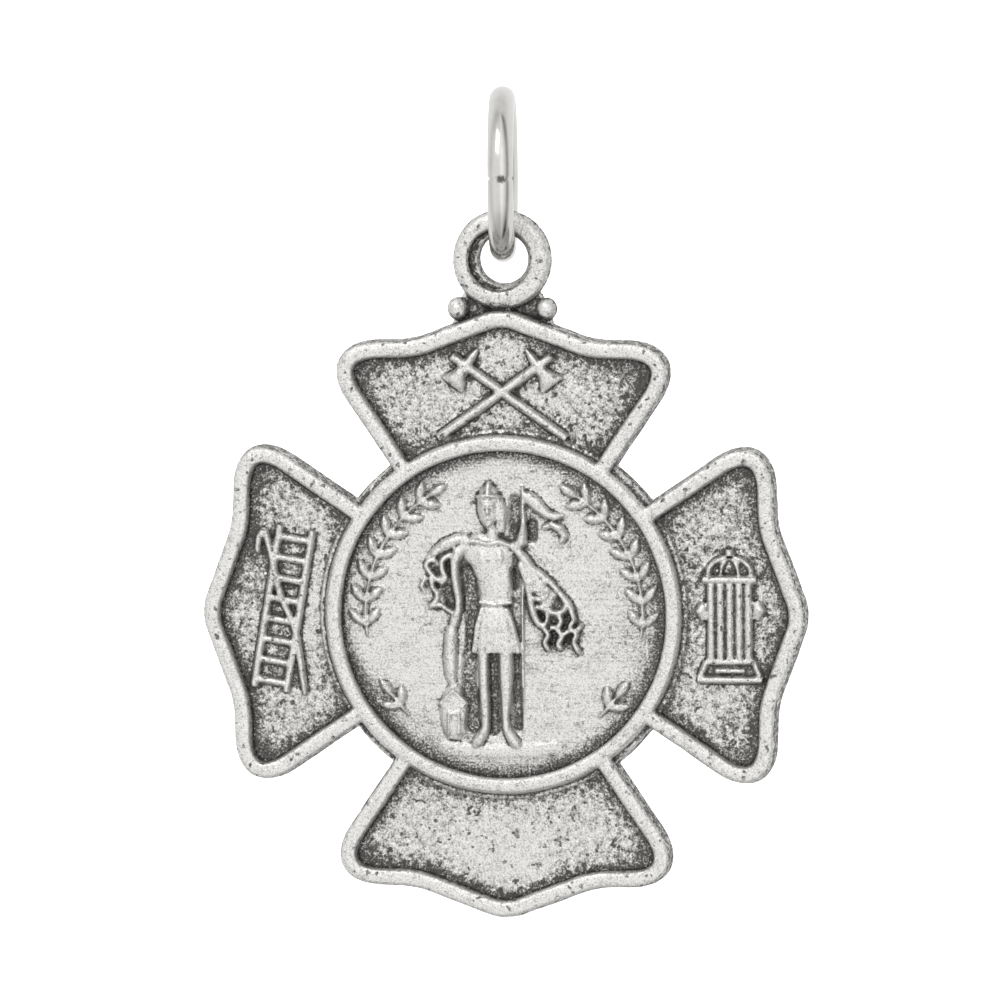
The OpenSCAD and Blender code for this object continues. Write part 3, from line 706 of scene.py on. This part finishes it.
def make_ridge(rows, sides):
    """A ridge, sunk to its middle: a disc drawn out through rows of across, up, half width and height."""
    places = [Vector((row[0], row[1], FIELD + (row[4] if len(row) > 4 else 0))) for row in rows]
    put_down()
    bpy.ops.mesh.primitive_circle_add(
        vertices=sides, radius=1, fill_type="NGON", enter_editmode=True,
        location=places[0], rotation=(math.radians(90), 0, 0),
    )
    bpy.ops.mesh.select_mode(type="FACE")
    bpy.ops.mesh.select_all(action="SELECT")
    width, height, heading = 1, 1, 90
    for i, (place, row) in enumerate(zip(places, rows)):
        if i:
            bpy.ops.mesh.extrude_region_move(TRANSFORM_OT_translate={"value": place - places[i - 1]})
        way = places[min(i + 1, len(places) - 1)] - places[max(i - 1, 0)]
        turn_about(place, 90 - heading)
        bpy.ops.transform.resize(value=(row[2] / width, 1, row[3] / height), center_override=place)
        heading = math.degrees(math.atan2(way.y, way.x))
        turn_about(place, heading - 90)
        width, height = row[2], row[3]
    bpy.ops.mesh.select_all(action="SELECT")
    bpy.ops.mesh.normals_make_consistent(inside=False)
    put_down()
    return bpy.context.object


def softened(places):
    """The places with new ones between them, on a curve that runs through them all."""
    if len(places) < 4:
        return places
    points = [Vector(place) for place in (places[0], *places, places[-1])]
    curve = []
    for before, here, there, after in zip(points, points[1:], points[2:], points[3:]):
        for share in (0, 1 / 3, 2 / 3):
            curve.append(tuple(
                here + (there - before) * (share / 2)
                + (before * 2 - here * 5 + there * 4 - after) * (share ** 2 / 2)
                + ((here - there) * 3 + after - before) * (share ** 3 / 2)
            ))
    return curve + [places[-1]]


def make_ridges(table, across=0.0, up=0.0, side=1):
    """Ridges that narrow at both ends, moved by across and up, and mirrored where side is -1."""
    pieces = []
    for half_width, height, *places in table:
        places = softened(places)
        rows = []
        for i, (x, y) in enumerate(places):
            share = STROKE_END if len(places) > 2 and i in (0, len(places) - 1) else 1
            rows.append((side * (x + across), y + up, half_width * share, height * share))
        pieces.append(make_ridge(rows, STROKE_SIDES))
    return pieces


def make_figure():
    """The standing figure with its cloak, banner, water and burning house."""
    pieces = [make_ridge(rows, BODY_SIDES) for rows in BODY.values()]
    pieces += [make_ridge(rows, FORM_SIDES) for rows in HEAD]
    for i in range(PLEATS):
        aside = i / (PLEATS - 1) - 0.5
        rows = [
            (middle + aside * spread, up, half_width, height - taken * abs(aside))
            for middle, up, spread, half_width, height, taken in PLEAT_ROWS
        ]
        pieces.append(make_ridge(rows, FORM_SIDES))
    for table in (CLOAK, STAFF, GROUND, HOUSE_TRIM):
        pieces += make_ridges(table)
    return pieces


def make_axes():
    """Two crossed fire axes."""
    pieces = []
    for side in (-1, 1):
        pieces += make_ridges(AXE_HANDLE, up=AXES_UP, side=side)
        for rows in AXE_HEAD:
            placed = [(side * x, y + AXES_UP, half_width, height) for x, y, half_width, height in rows]
            pieces.append(make_ridge(placed, FORM_SIDES))
    return pieces


def make_ladder():
    """The ladder, leaning to the right, with the pike pole over it."""
    half, end = LADDER_WIDE / 2, LADDER_LONG / 2
    rails = [(*RAIL, (side * half, end), (side * half, -end)) for side in (-1, 1)]
    heights = [LADDER_LONG * (TOP_RUNG - RUNG_SPAN * i / (RUNGS - 1)) for i in range(RUNGS)]
    rungs = [(*RUNG, (-half, up), (half, up)) for up in heights]
    lean = math.radians(-LADDER_LEAN)
    leaning = []
    for half_width, height, *places in rails + rungs:
        turned = [
            (LADDER_PLACE[0] + x * math.cos(lean) - y * math.sin(lean),
             LADDER_PLACE[1] + x * math.sin(lean) + y * math.cos(lean))
            for x, y in places
        ]
        leaning.append((half_width, height, *turned))
    return make_ridges(leaning + PIKE)


def make_hydrant():
    """The hydrant with its dome, ribs, nozzles and base."""
    ribs = [(*RIB, (across, RIB_TOP), (across, RIB_FOOT)) for across in HYDRANT_RIBS]
    return make_ridges(HYDRANT + ribs, across=HYDRANT_ACROSS)


def make_wreath():
    """Laurel sprigs on both sides of the figure."""
    def on_wreath(radius, angle):
        return Vector((radius * math.cos(math.radians(angle)), radius * math.sin(math.radians(angle))))

    pieces = []
    for side in (-1, 1):
        for foot, tip, pairs in SPRIGS:
            span = tip - foot
            turns = [foot + span * i / STEM_STEPS for i in range(STEM_STEPS + 1)]
            stem = [on_wreath(WREATH_R, turn).to_tuple() for turn in turns]
            pieces += make_ridges([(*STEM, *stem)], side=-side)
            leaves = [(foot + span * (i + 0.5) / pairs, lean) for i in range(pairs) for lean in PAIR_LEANS]
            for angle, lean in leaves + [(tip, TIP_LEAN)]:
                start = on_wreath(WREATH_R, angle)
                way = on_wreath(LEAF_LONG, angle + lean)
                rows = []
                for share, width, height in LEAF_ROWS:
                    place = start + way * share
                    rows.append((-side * place.x, place.y, LEAF_WIDE * width, height))
                pieces.append(make_ridge(rows, STROKE_SIDES))
    return pieces


def joined(pieces):
    """Joins the pieces into the first of them."""
    take(pieces)
    bpy.ops.object.join()
    bpy.ops.object.transform_apply(location=True, rotation=True, scale=True)
    return bpy.context.object


def in_hollows(places):
    """How far places lie inside the hollows, from 0 to 1."""
    inside = np.zeros(len(places))
    for x, y, end_x, end_y, half_width in HOLLOWS:
        start, way = np.array([x, y]), np.array([end_x - x, end_y - y])
        along = np.clip((places[:, :2] - start) @ way / (way @ way), 0, 1)
        distance = np.linalg.norm(places[:, :2] - start - along[:, None] * way, axis=1)
        inside = np.maximum(inside, share_of(-distance, -half_width - HOLLOW_EDGE, -half_width + HOLLOW_EDGE))
    return inside


def near_field(places, none, full):
    """How near places lie to the field: 0 above one height over it, and 1 below another."""
    return share_of(-places[:, 2], -FIELD - none, -FIELD - full)


def sink_hollows(casting):
    """Presses the hollows into the field beside the figure, as far as its ridges leave it bare."""
    places = read_vectors(casting.data, "co")
    bare = near_field(places, *PRESSED_OVER) * (places[:, 2] > 0)
    places[:, 2] -= HOLLOW_DEPTH * in_hollows(places) * bare
    casting.data.vertices.foreach_set("co", places.ravel())
    casting.data.update()


def cast(casting):
    """Fuses the joined pieces into one casting with soft corners and a lively surface, still on the bench."""
    casting.name = "casting"
    add_modifier(casting, "REMESH", mode="VOXEL", voxel_size=VOXEL, adaptivity=0)
    sink_hollows(casting)
    add_modifier(casting, "SMOOTH", factor=0.5, iterations=1)
    waves = bpy.data.textures.new("hand_finish", "CLOUDS")
    waves.noise_scale = WAVE_SIZE
    add_modifier(
        casting, "DISPLACE", texture=waves, strength=WAVE_HEIGHT, mid_level=0.5, texture_coords="LOCAL"
    )
    triangles = sum(len(face.vertices) - 2 for face in casting.data.polygons)
    add_modifier(casting, "DECIMATE", ratio=CASTING_TRIANGLES / triangles)
    return casting


def front_heights(casting):
    """Heights of the front over the grid of the bench."""
    tree = BVHTree.FromObject(casting, bpy.context.evaluated_depsgraph_get())
    across = int(-2 * GRID_LOW[0] / GRID_PITCH)
    up = int((GRID_TOP - GRID_LOW[1]) / GRID_PITCH)
    heights = np.full((across, up), BACK, np.float32)
    down = Vector((0, 0, -1))
    for i in range(across):
        for j in range(up):
            above = Vector((GRID_LOW[0] + i * GRID_PITCH, GRID_LOW[1] + j * GRID_PITCH, FEELER_HEIGHT))
            hit = tree.ray_cast(above, down)[0]
            if hit:
                heights[i, j] = hit.z
    return heights


def swept(grid, radius, choose, sign):
    """The grid swept with a bowl of the given radius, once along each of its sides."""
    reach = int(math.sqrt(2 * radius * (DISC_TOP - FIELD)) / GRID_PITCH) + 1
    for axis in (0, 1):
        best = grid
        for step in range(-reach, reach + 1):
            drop = (step * GRID_PITCH) ** 2 / (2 * radius)
            best = choose(best, np.roll(grid, step, axis) - sign * drop)
        grid = best
    return grid


def rolled_over(heights, radius):
    """Heights that a ball of cloth leaves free: it bridges each hollow that it can't get into."""
    return swept(swept(heights, radius, np.maximum, 1), radius, np.minimum, -1)


def blurred(grid):
    """The grid, softened over a few of its points."""
    for axis in (0, 1):
        for repeat in range(CREVICE_BLUR):
            grid = (np.roll(grid, 1, axis) + grid * 2 + np.roll(grid, -1, axis)) / 4
    return grid


def share_of(values, low, high):
    """How far values lie between two limits, from 0 to 1, with soft ends."""
    share = np.clip((values - low) / (high - low), 0, 1)
    return share * share * (3 - 2 * share)


def sampled(grid, places):
    """Values of a grid at places of the bench, blended between its points."""
    spot = (places[:, :2] - GRID_LOW) / GRID_PITCH
    cell = np.floor(spot).astype(int)
    part = spot - cell
    i, j = cell.T
    return (
        grid[i, j] * (1 - part[:, 0]) * (1 - part[:, 1])
        + grid[i + 1, j] * part[:, 0] * (1 - part[:, 1])
        + grid[i, j + 1] * (1 - part[:, 0]) * part[:, 1]
        + grid[i + 1, j + 1] * part[:, 0] * part[:, 1]
    )


def read_vectors(mesh, name):
    """The places or the normals of a mesh's vertices."""
    values = np.empty(len(mesh.vertices) * 3, np.float32)
    mesh.vertices.foreach_get(name, values)
    return values.reshape(-1, 3)


def note_oxide_and_shade(casting, form_heights):
    """Stores at each vertex how much oxide the cloth leaves there, with painted shade near walls, in hollows,
    in creases and on the outer sides, and how much of a crevice it is.
    """
    heights = front_heights(casting)
    mesh = casting.data
    places = read_vectors(mesh, "co")
    normals = read_vectors(mesh, "normal")
    oxide_and_shade = np.zeros(len(places))
    # Oxide and painted shade where the cloth balls can't reach, near walls and at the feet of the relief
    for grid, cloths in ((form_heights, FORM_CLOTHS), (heights, RELIEF_CLOTHS)):
        for radius, begin, full, most in cloths:
            depth = sampled(rolled_over(grid, radius), places) - places[:, 2]
            oxide_and_shade = np.maximum(oxide_and_shade, most * share_of(depth, begin, full))
    sunk = near_field(places, *WIPED_OVER)
    for across, up, reach, added in WIPED:
        distance = np.linalg.norm(places[:, :2] - (across, up), axis=1)
        oxide_and_shade += added * share_of(-distance, -reach, 0) * sunk
    # Hollows beside the figure: oxide and painted shade between the legs, body and staff
    oxide_and_shade = np.maximum(oxide_and_shade, HOLLOW_OXIDE_AND_SHADE * in_hollows(places) * near_field(places, *DARK_OVER))
    sharpness = sampled(blurred(heights), places) - places[:, 2]
    # Creases: oxide and painted shade where the front lies below its blurred height
    oxide_and_shade = np.maximum(oxide_and_shade, share_of(sharpness, *CREVICE))
    # Outer sides: oxide and painted shade, darkest on their steepest parts
    beyond = sampled(heights, places + normals * SIDE_FEEL)
    steep = share_of(-normals[:, 2], -SIDE_SLOPE[0], -SIDE_SLOPE[1])
    oxide_and_shade = np.where(beyond < BACK + SIDE_DROP, steep * SIDE_OXIDE_AND_SHADE, oxide_and_shade)
    oxide_and_shade = np.clip(oxide_and_shade, 0, 1) * (1 - np.clip(-normals[:, 2] * BACK_WIPED, 0, 1))
    # Deeper creases: black oxide and painted shade
    crevice = share_of(sharpness, *BLACK_CREVICE) * (places[:, 2] > 0)
    for name, values in (("oxide_and_shade", oxide_and_shade), ("crevice", crevice)):
        attribute = mesh.attributes.new(name, "FLOAT", "POINT")
        attribute.data.foreach_set("value", values.astype(np.float32))


def hang(casting):
    """Takes the casting from the bench to its place under the ring, in metres."""
    take([casting])
    bench_to_place = Matrix.Translation((0, 0, -DISC_Z * MM)) @ Matrix.Rotation(math.radians(90), 4, "X")
    casting.matrix_world = bench_to_place @ Matrix.Scale(MM, 4)
    bpy.ops.object.transform_apply(location=True, rotation=True, scale=True)
    bpy.ops.object.shade_smooth_by_angle(angle=math.radians(SHARP_ANGLE))


def make_casting():
    """The whole medal as one piece of cast silver."""
    form = joined(make_arms() + [make_disc(), make_loop()] + make_web())
    form_heights = front_heights(form)
    relief = make_figure() + make_axes() + make_ladder() + make_hydrant() + make_wreath()
    casting = cast(joined([form] + relief))
    note_oxide_and_shade(casting, form_heights)
    hang(casting)
    return casting


def make_ring():
    """The jump ring, with the hairline seam where its ends meet at the front."""
    half_step = RING_MID_R * math.pi / RING_STEPS
    put_down()
    bpy.ops.mesh.primitive_torus_add(
        major_segments=RING_STEPS, minor_segments=WIRE_SIDES,
        major_radius=RING_MID_R, minor_radius=RING_WIRE / 2,
        location=(0, 0, SEAM_Z), rotation=(0, math.radians(90), 0),
    )
    ring = bpy.context.object
    ring.name = "ring"
    take([ring])
    bpy.ops.object.transform_apply(location=True, rotation=True, scale=True)
    bpy.ops.object.mode_set(mode="EDIT")
    pick("verts", lambda vert: vert.co.y < 0 and abs(vert.co.z - SEAM_Z) < half_step)
    bpy.ops.transform.resize(value=SEAM_PINCH, center_override=(0, -RING_MID_R, SEAM_Z))
    put_down()
    take([ring])
    ring.matrix_world = (
        Matrix.Scale(MM, 4)
        @ Matrix.Rotation(math.radians(RING_TURN), 4, "Z")
        @ ring.matrix_world
    )
    bpy.ops.object.transform_apply(location=True, rotation=True, scale=True)
    bpy.ops.object.shade_smooth()
    return ring


def node(tree, kind, settings=None, **inputs):
    """Adds a shader node. Inputs are values or sockets, named with _ for a space, or as _ and a number."""
    made = tree.nodes.new(kind)
    for name, value in (settings or {}).items():
        setattr(made, name, value)
    for name, value in inputs.items():
        socket = made.inputs[int(name[1:])] if name[1:].isdigit() else made.inputs[name.replace("_", " ")]
        if isinstance(value, bpy.types.NodeSocket):
            tree.links.new(value, socket)
        else:
            socket.default_value = value
    return made


def maths(tree, operation, first, second=0.0):
    """The result of one sum."""
    return node(tree, "ShaderNodeMath", {"operation": operation}, _0=first, _1=second).outputs[0]


def ramp(tree, value, low, high, to_low=0.0, to_high=1.0):
    """A value carried smoothly from one range to another."""
    made = node(tree, "ShaderNodeMapRange", {"interpolation_type": "SMOOTHSTEP"}, Value=value)
    for name, number in (("From Min", low), ("From Max", high), ("To Min", to_low), ("To Max", to_high)):
        made.inputs[name].default_value = number
    return made.outputs[0]


def mixed(tree, share, first, second):
    """A colour between two colours."""
    made = node(tree, "ShaderNodeMix", {"data_type": "RGBA"})
    tree.links.new(share, made.inputs[0])
    for socket, colour in ((made.inputs[6], first), (made.inputs[7], second)):
        if isinstance(colour, bpy.types.NodeSocket):
            tree.links.new(colour, socket)
        else:
            socket.default_value = (*colour, 1)
    return made.outputs[2]


def new_material(name):
    """A material with its output, and the tree and Principled BSDF to work on."""
    material = bpy.data.materials.new(name)
    material.use_nodes = True
    tree = material.node_tree
    tree.nodes.clear()
    shader = tree.nodes.new("ShaderNodeBsdfPrincipled")
    output = tree.nodes.new("ShaderNodeOutputMaterial")
    tree.links.new(shader.outputs[0], output.inputs[0])
    return material, tree, shader


def noise(tree, place, scale, detail, roughness):
    """Noise at a scale in repeats to the metre, about 0 and swinging both ways."""
    made = node(tree, "ShaderNodeTexNoise", Vector=place, Scale=scale, Detail=detail, Roughness=roughness)
    return maths(tree, "SUBTRACT", made.outputs[0], 0.5)


def times(tree, *factors):
    """The product of values."""
    product = factors[0]
    for factor in factors[1:]:
        product = maths(tree, "MULTIPLY", product, factor)
    return product


def vector_maths(tree, operation, first, second):
    """The node of one sum of vectors."""
    return node(tree, "ShaderNodeVectorMath", {"operation": operation}, _0=first, _1=second)


def total(tree, *parts):
    """The sum of values."""
    result = parts[0]
    for part in parts[1:]:
        result = maths(tree, "ADD", result, part)
    return result


def antiqued_silver():
    """Cast silver, darkened and wiped: oxide stays where a cloth doesn't reach, and painted shade darkens the
    walls, hollows and creases.
    """
    material, tree, shader = new_material("antiqued_silver")
    place = node(tree, "ShaderNodeTexCoord").outputs["Object"]
    noted = node(tree, "ShaderNodeAttribute", {"attribute_name": "oxide_and_shade"}).outputs["Fac"]
    crevice = node(tree, "ShaderNodeAttribute", {"attribute_name": "crevice"}).outputs["Fac"]
    from_middle = vector_maths(tree, "DISTANCE", place, Vector((0, 0, -DISC_Z)) * MM).outputs["Value"]
    on_arms = ramp(tree, from_middle, DISC_CREST_R * MM, DISC_R * MM, ARM_SHARE_ON_DISC, 1.0)
    along = vector_maths(tree, "MULTIPLY", place, (BRUSH_STRETCH, 1, 1)).outputs[0]
    depth = node(tree, "ShaderNodeSeparateXYZ", Vector=place).outputs["Y"]
    sunk = ramp(tree, depth, FIELD_DEPTHS[0] * MM, FIELD_DEPTHS[1] * MM)

    grain = noise(tree, place, *GRAIN)
    pits = ramp(tree, noise(tree, place, *PITS), *PIT_NOISE)
    half_wiped = times(tree, noted, maths(tree, "SUBTRACT", 1.0, noted), 4.0)
    lumps_move = total(tree, LUMPS_MOVE, times(tree, half_wiped, LUMPS_HALF_WIPED))
    patchy = times(tree, noise(tree, place, *LUMPS), lumps_move, on_arms)
    grain_moves = total(tree, GRAIN_MOVES, times(tree, noted, GRAIN_IN_OXIDE))
    brushed = times(tree, noise(tree, along, *BRUSHED), sunk, BRUSH_MOVES)
    amount = total(
        tree, noted, OXIDE_OVER_ALL, times(tree, grain, grain_moves), patchy,
        times(tree, noise(tree, place, *CLOUDS), CLOUDS_MOVE),
        times(tree, brushed, maths(tree, "SUBTRACT", BRUSH_ON_DISC, on_arms)),
        times(tree, pits, on_arms, PIT_OXIDE),
    )
    clamped = node(tree, "ShaderNodeClamp", Value=amount).outputs[0]
    oxide_and_shade = times(tree, total(tree, clamped, ramp(tree, amount, *OXIDE_CONTRAST)), 0.5)

    dull = ramp(tree, noise(tree, place, *DULL_GRAIN), *DULL_NOISE)
    metal = mixed(tree, dull, mixed(tree, sunk, RIM_SILVER, FIELD_SILVER), DULL_SILVER)
    # Creases turn the dark colour to black: oxide and painted shade
    dark = mixed(tree, crevice, OXIDE_AND_SHADE, BLACK_OXIDE_AND_SHADE)
    # The base colour darkens by oxide and painted shade
    tree.links.new(mixed(tree, oxide_and_shade, metal, dark), shader.inputs["Base Color"])
    tree.links.new(ramp(tree, oxide_and_shade, 0, 1, *METALLIC), shader.inputs["Metallic"])
    tree.links.new(ramp(tree, oxide_and_shade, 0, 1, *ROUGHNESS), shader.inputs["Roughness"])
    relief = total(tree, *[times(tree, part, rise) for part, rise in zip((patchy, grain, pits), BUMP_PARTS)])
    bump = node(tree, "ShaderNodeBump", Height=relief, Strength=BUMP_STRENGTH, Distance=BUMP_HEIGHT * MM)
    tree.links.new(bump.outputs[0], shader.inputs["Normal"])
    return material


def polished_silver():
    """Bright drawn wire with faint polishing marks, and a dark spot of solder on its seam."""
    material, tree, shader = new_material("polished_silver")
    place = node(tree, "ShaderNodeTexCoord").outputs["Object"]
    marks = total(tree, noise(tree, place, *WIRE_MARKS), 0.5)
    turn = Matrix.Rotation(math.radians(RING_TURN), 4, "Z")
    seam = turn @ Vector((SPOT_ACROSS, -RING_MID_R - RING_WIRE / 2, SEAM_Z)) * MM
    from_spot = vector_maths(tree, "SUBTRACT", place, seam).outputs[0]
    flattened = vector_maths(tree, "MULTIPLY", from_spot, (1, 1, SPOT_FLAT)).outputs[0]
    reach = vector_maths(tree, "DISTANCE", flattened, (0, 0, 0)).outputs["Value"]
    reach = total(tree, reach, times(tree, noise(tree, place, *SPOT_GRAIN), SPOT_WANDER * MM))
    spot = ramp(tree, reach, SPOT_EDGE[0] * MM, SPOT_EDGE[1] * MM)
    wire = mixed(tree, marks, WIRE_DARK, WIRE_LIGHT)
    tree.links.new(mixed(tree, spot, wire, SOLDER), shader.inputs["Base Color"])
    shader.inputs["Metallic"].default_value = METALLIC[0]
    tree.links.new(ramp(tree, marks, 0, 1, *WIRE_ROUGHNESS), shader.inputs["Roughness"])
    return material


def dress(piece, material):
    """Gives a piece its material."""
    piece.data.materials.clear()
    piece.data.materials.append(material)


def stand_camera():
    """The camera, set so that the disc's centre lies where the photo has it."""
    azimuth, elevation = math.radians(CAMERA_AZIMUTH), math.radians(CAMERA_ELEVATION)
    aside, ahead = math.sin(azimuth), math.cos(azimuth)
    level = Vector((ahead, aside, 0))
    back = Vector((aside * math.cos(elevation), -ahead * math.cos(elevation), math.sin(elevation)))
    right = Matrix.Rotation(math.radians(-CAMERA_ROLL), 3, back) @ level
    up = back.cross(right)
    disc = Vector((0, -DISC_TOP, -DISC_Z)) * MM
    metres = MM / PIXELS_PER_MM
    middle = PHOTO_PIXELS / 2
    target = disc + right * (middle - DISC_PIXEL[0]) * metres + up * (DISC_PIXEL[1] - middle) * metres
    data = bpy.data.cameras.new("camera")
    data.sensor_width = SENSOR_MM
    data.lens = SENSOR_MM * CAMERA_DISTANCE / (PHOTO_PIXELS * metres)
    data.clip_end = CAMERA_SEES
    camera = bpy.data.objects.new("camera", data)
    bpy.context.scene.collection.objects.link(camera)
    turned = Matrix((right, up, back)).transposed().to_4x4()
    camera.matrix_world = Matrix.Translation(target + back * CAMERA_DISTANCE) @ turned
    bpy.context.scene.camera = camera


def add_light(name, place, aim, size, power):
    """A square soft light at a place, turned to face another, both in metres."""
    data = bpy.data.lights.new(name, "AREA")
    data.shape = "SQUARE"
    data.size = size
    data.energy = power
    light = bpy.data.objects.new(name, data)
    bpy.context.scene.collection.objects.link(light)
    light.location = place
    light.rotation_euler = (Vector(place) - Vector(aim)).to_track_quat("Z", "Y").to_euler()
    light.visible_camera = False
    light.visible_glossy = name != "backdrop"


def make_bowl():
    """A white paper bowl for floor and backdrop: a round floor that curves up into a wall."""
    put_down()
    bpy.ops.mesh.primitive_circle_add(
        vertices=BOWL_SIDES, radius=BOWL_FLOOR_R, fill_type="NGON", enter_editmode=True,
        location=(0, 0, BOWL_FLOOR_Z),
    )
    radius, rise = BOWL_FLOOR_R, 0
    for i in range(BOWL_STEPS):
        slope = math.radians(90 * (i + 1) / BOWL_STEPS)
        next_radius = BOWL_FLOOR_R + (BOWL_R - BOWL_FLOOR_R) * math.sin(slope)
        next_rise = BOWL_HEIGHT * (1 - math.cos(slope))
        bpy.ops.mesh.extrude_region_move(TRANSFORM_OT_translate={"value": (0, 0, next_rise - rise)})
        widen = next_radius / radius
        bpy.ops.transform.resize(value=(widen, widen, 1), center_override=(0, 0, 0))
        radius, rise = next_radius, next_rise
    bpy.ops.mesh.delete(type="ONLY_FACE")
    put_down()
    bowl = bpy.context.object
    bowl.name = "bowl"
    take([bowl])
    bpy.ops.object.shade_smooth()
    material, tree, shader = new_material("white_paper")
    shader.inputs["Base Color"].default_value = PAPER
    shader.inputs["Roughness"].default_value = PAPER_ROUGHNESS
    bowl.data.materials.append(material)
    bowl.visible_glossy = False


def set_sky():
    """White light from all round, with the screens in it."""
    world = bpy.data.worlds.new("studio")
    bpy.context.scene.world = world
    world.use_nodes = True
    tree = world.node_tree
    background = next(made for made in tree.nodes if made.type == "BACKGROUND")
    background.inputs[0].default_value = (1, 1, 1, 1)
    generated = node(tree, "ShaderNodeTexCoord").outputs["Generated"]
    way = node(tree, "ShaderNodeSeparateXYZ", Vector=generated).outputs
    turn = maths(tree, "ARCTAN2", way["X"], times(tree, way["Y"], -1.0))
    above, below = ramp(tree, way["Z"], 0.5, 1, 0, SKY_ABOVE), ramp(tree, way["Z"], -0.5, -1, 0, SKY_BELOW)
    glow = total(tree, SKY, above, below)
    for azimuth, half_width, change in SCREENS:
        aside = maths(tree, "ABSOLUTE", maths(tree, "SUBTRACT", turn, math.radians(azimuth)))
        glow = maths(tree, "ADD", glow, ramp(tree, aside, math.radians(half_width), 0, 0, change))
    tree.links.new(glow, background.inputs[1])


stand_camera()
make_bowl()
set_sky()
for row in LIGHTS:
    add_light(*row)

casting = make_casting()
dress(casting, antiqued_silver())
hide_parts("medal")
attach(casting, "medal")

ring = make_ring()
dress(ring, polished_silver())
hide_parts("jump_ring")
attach(ring, "ring")

bpy.context.scene.view_settings.view_transform = "Standard"
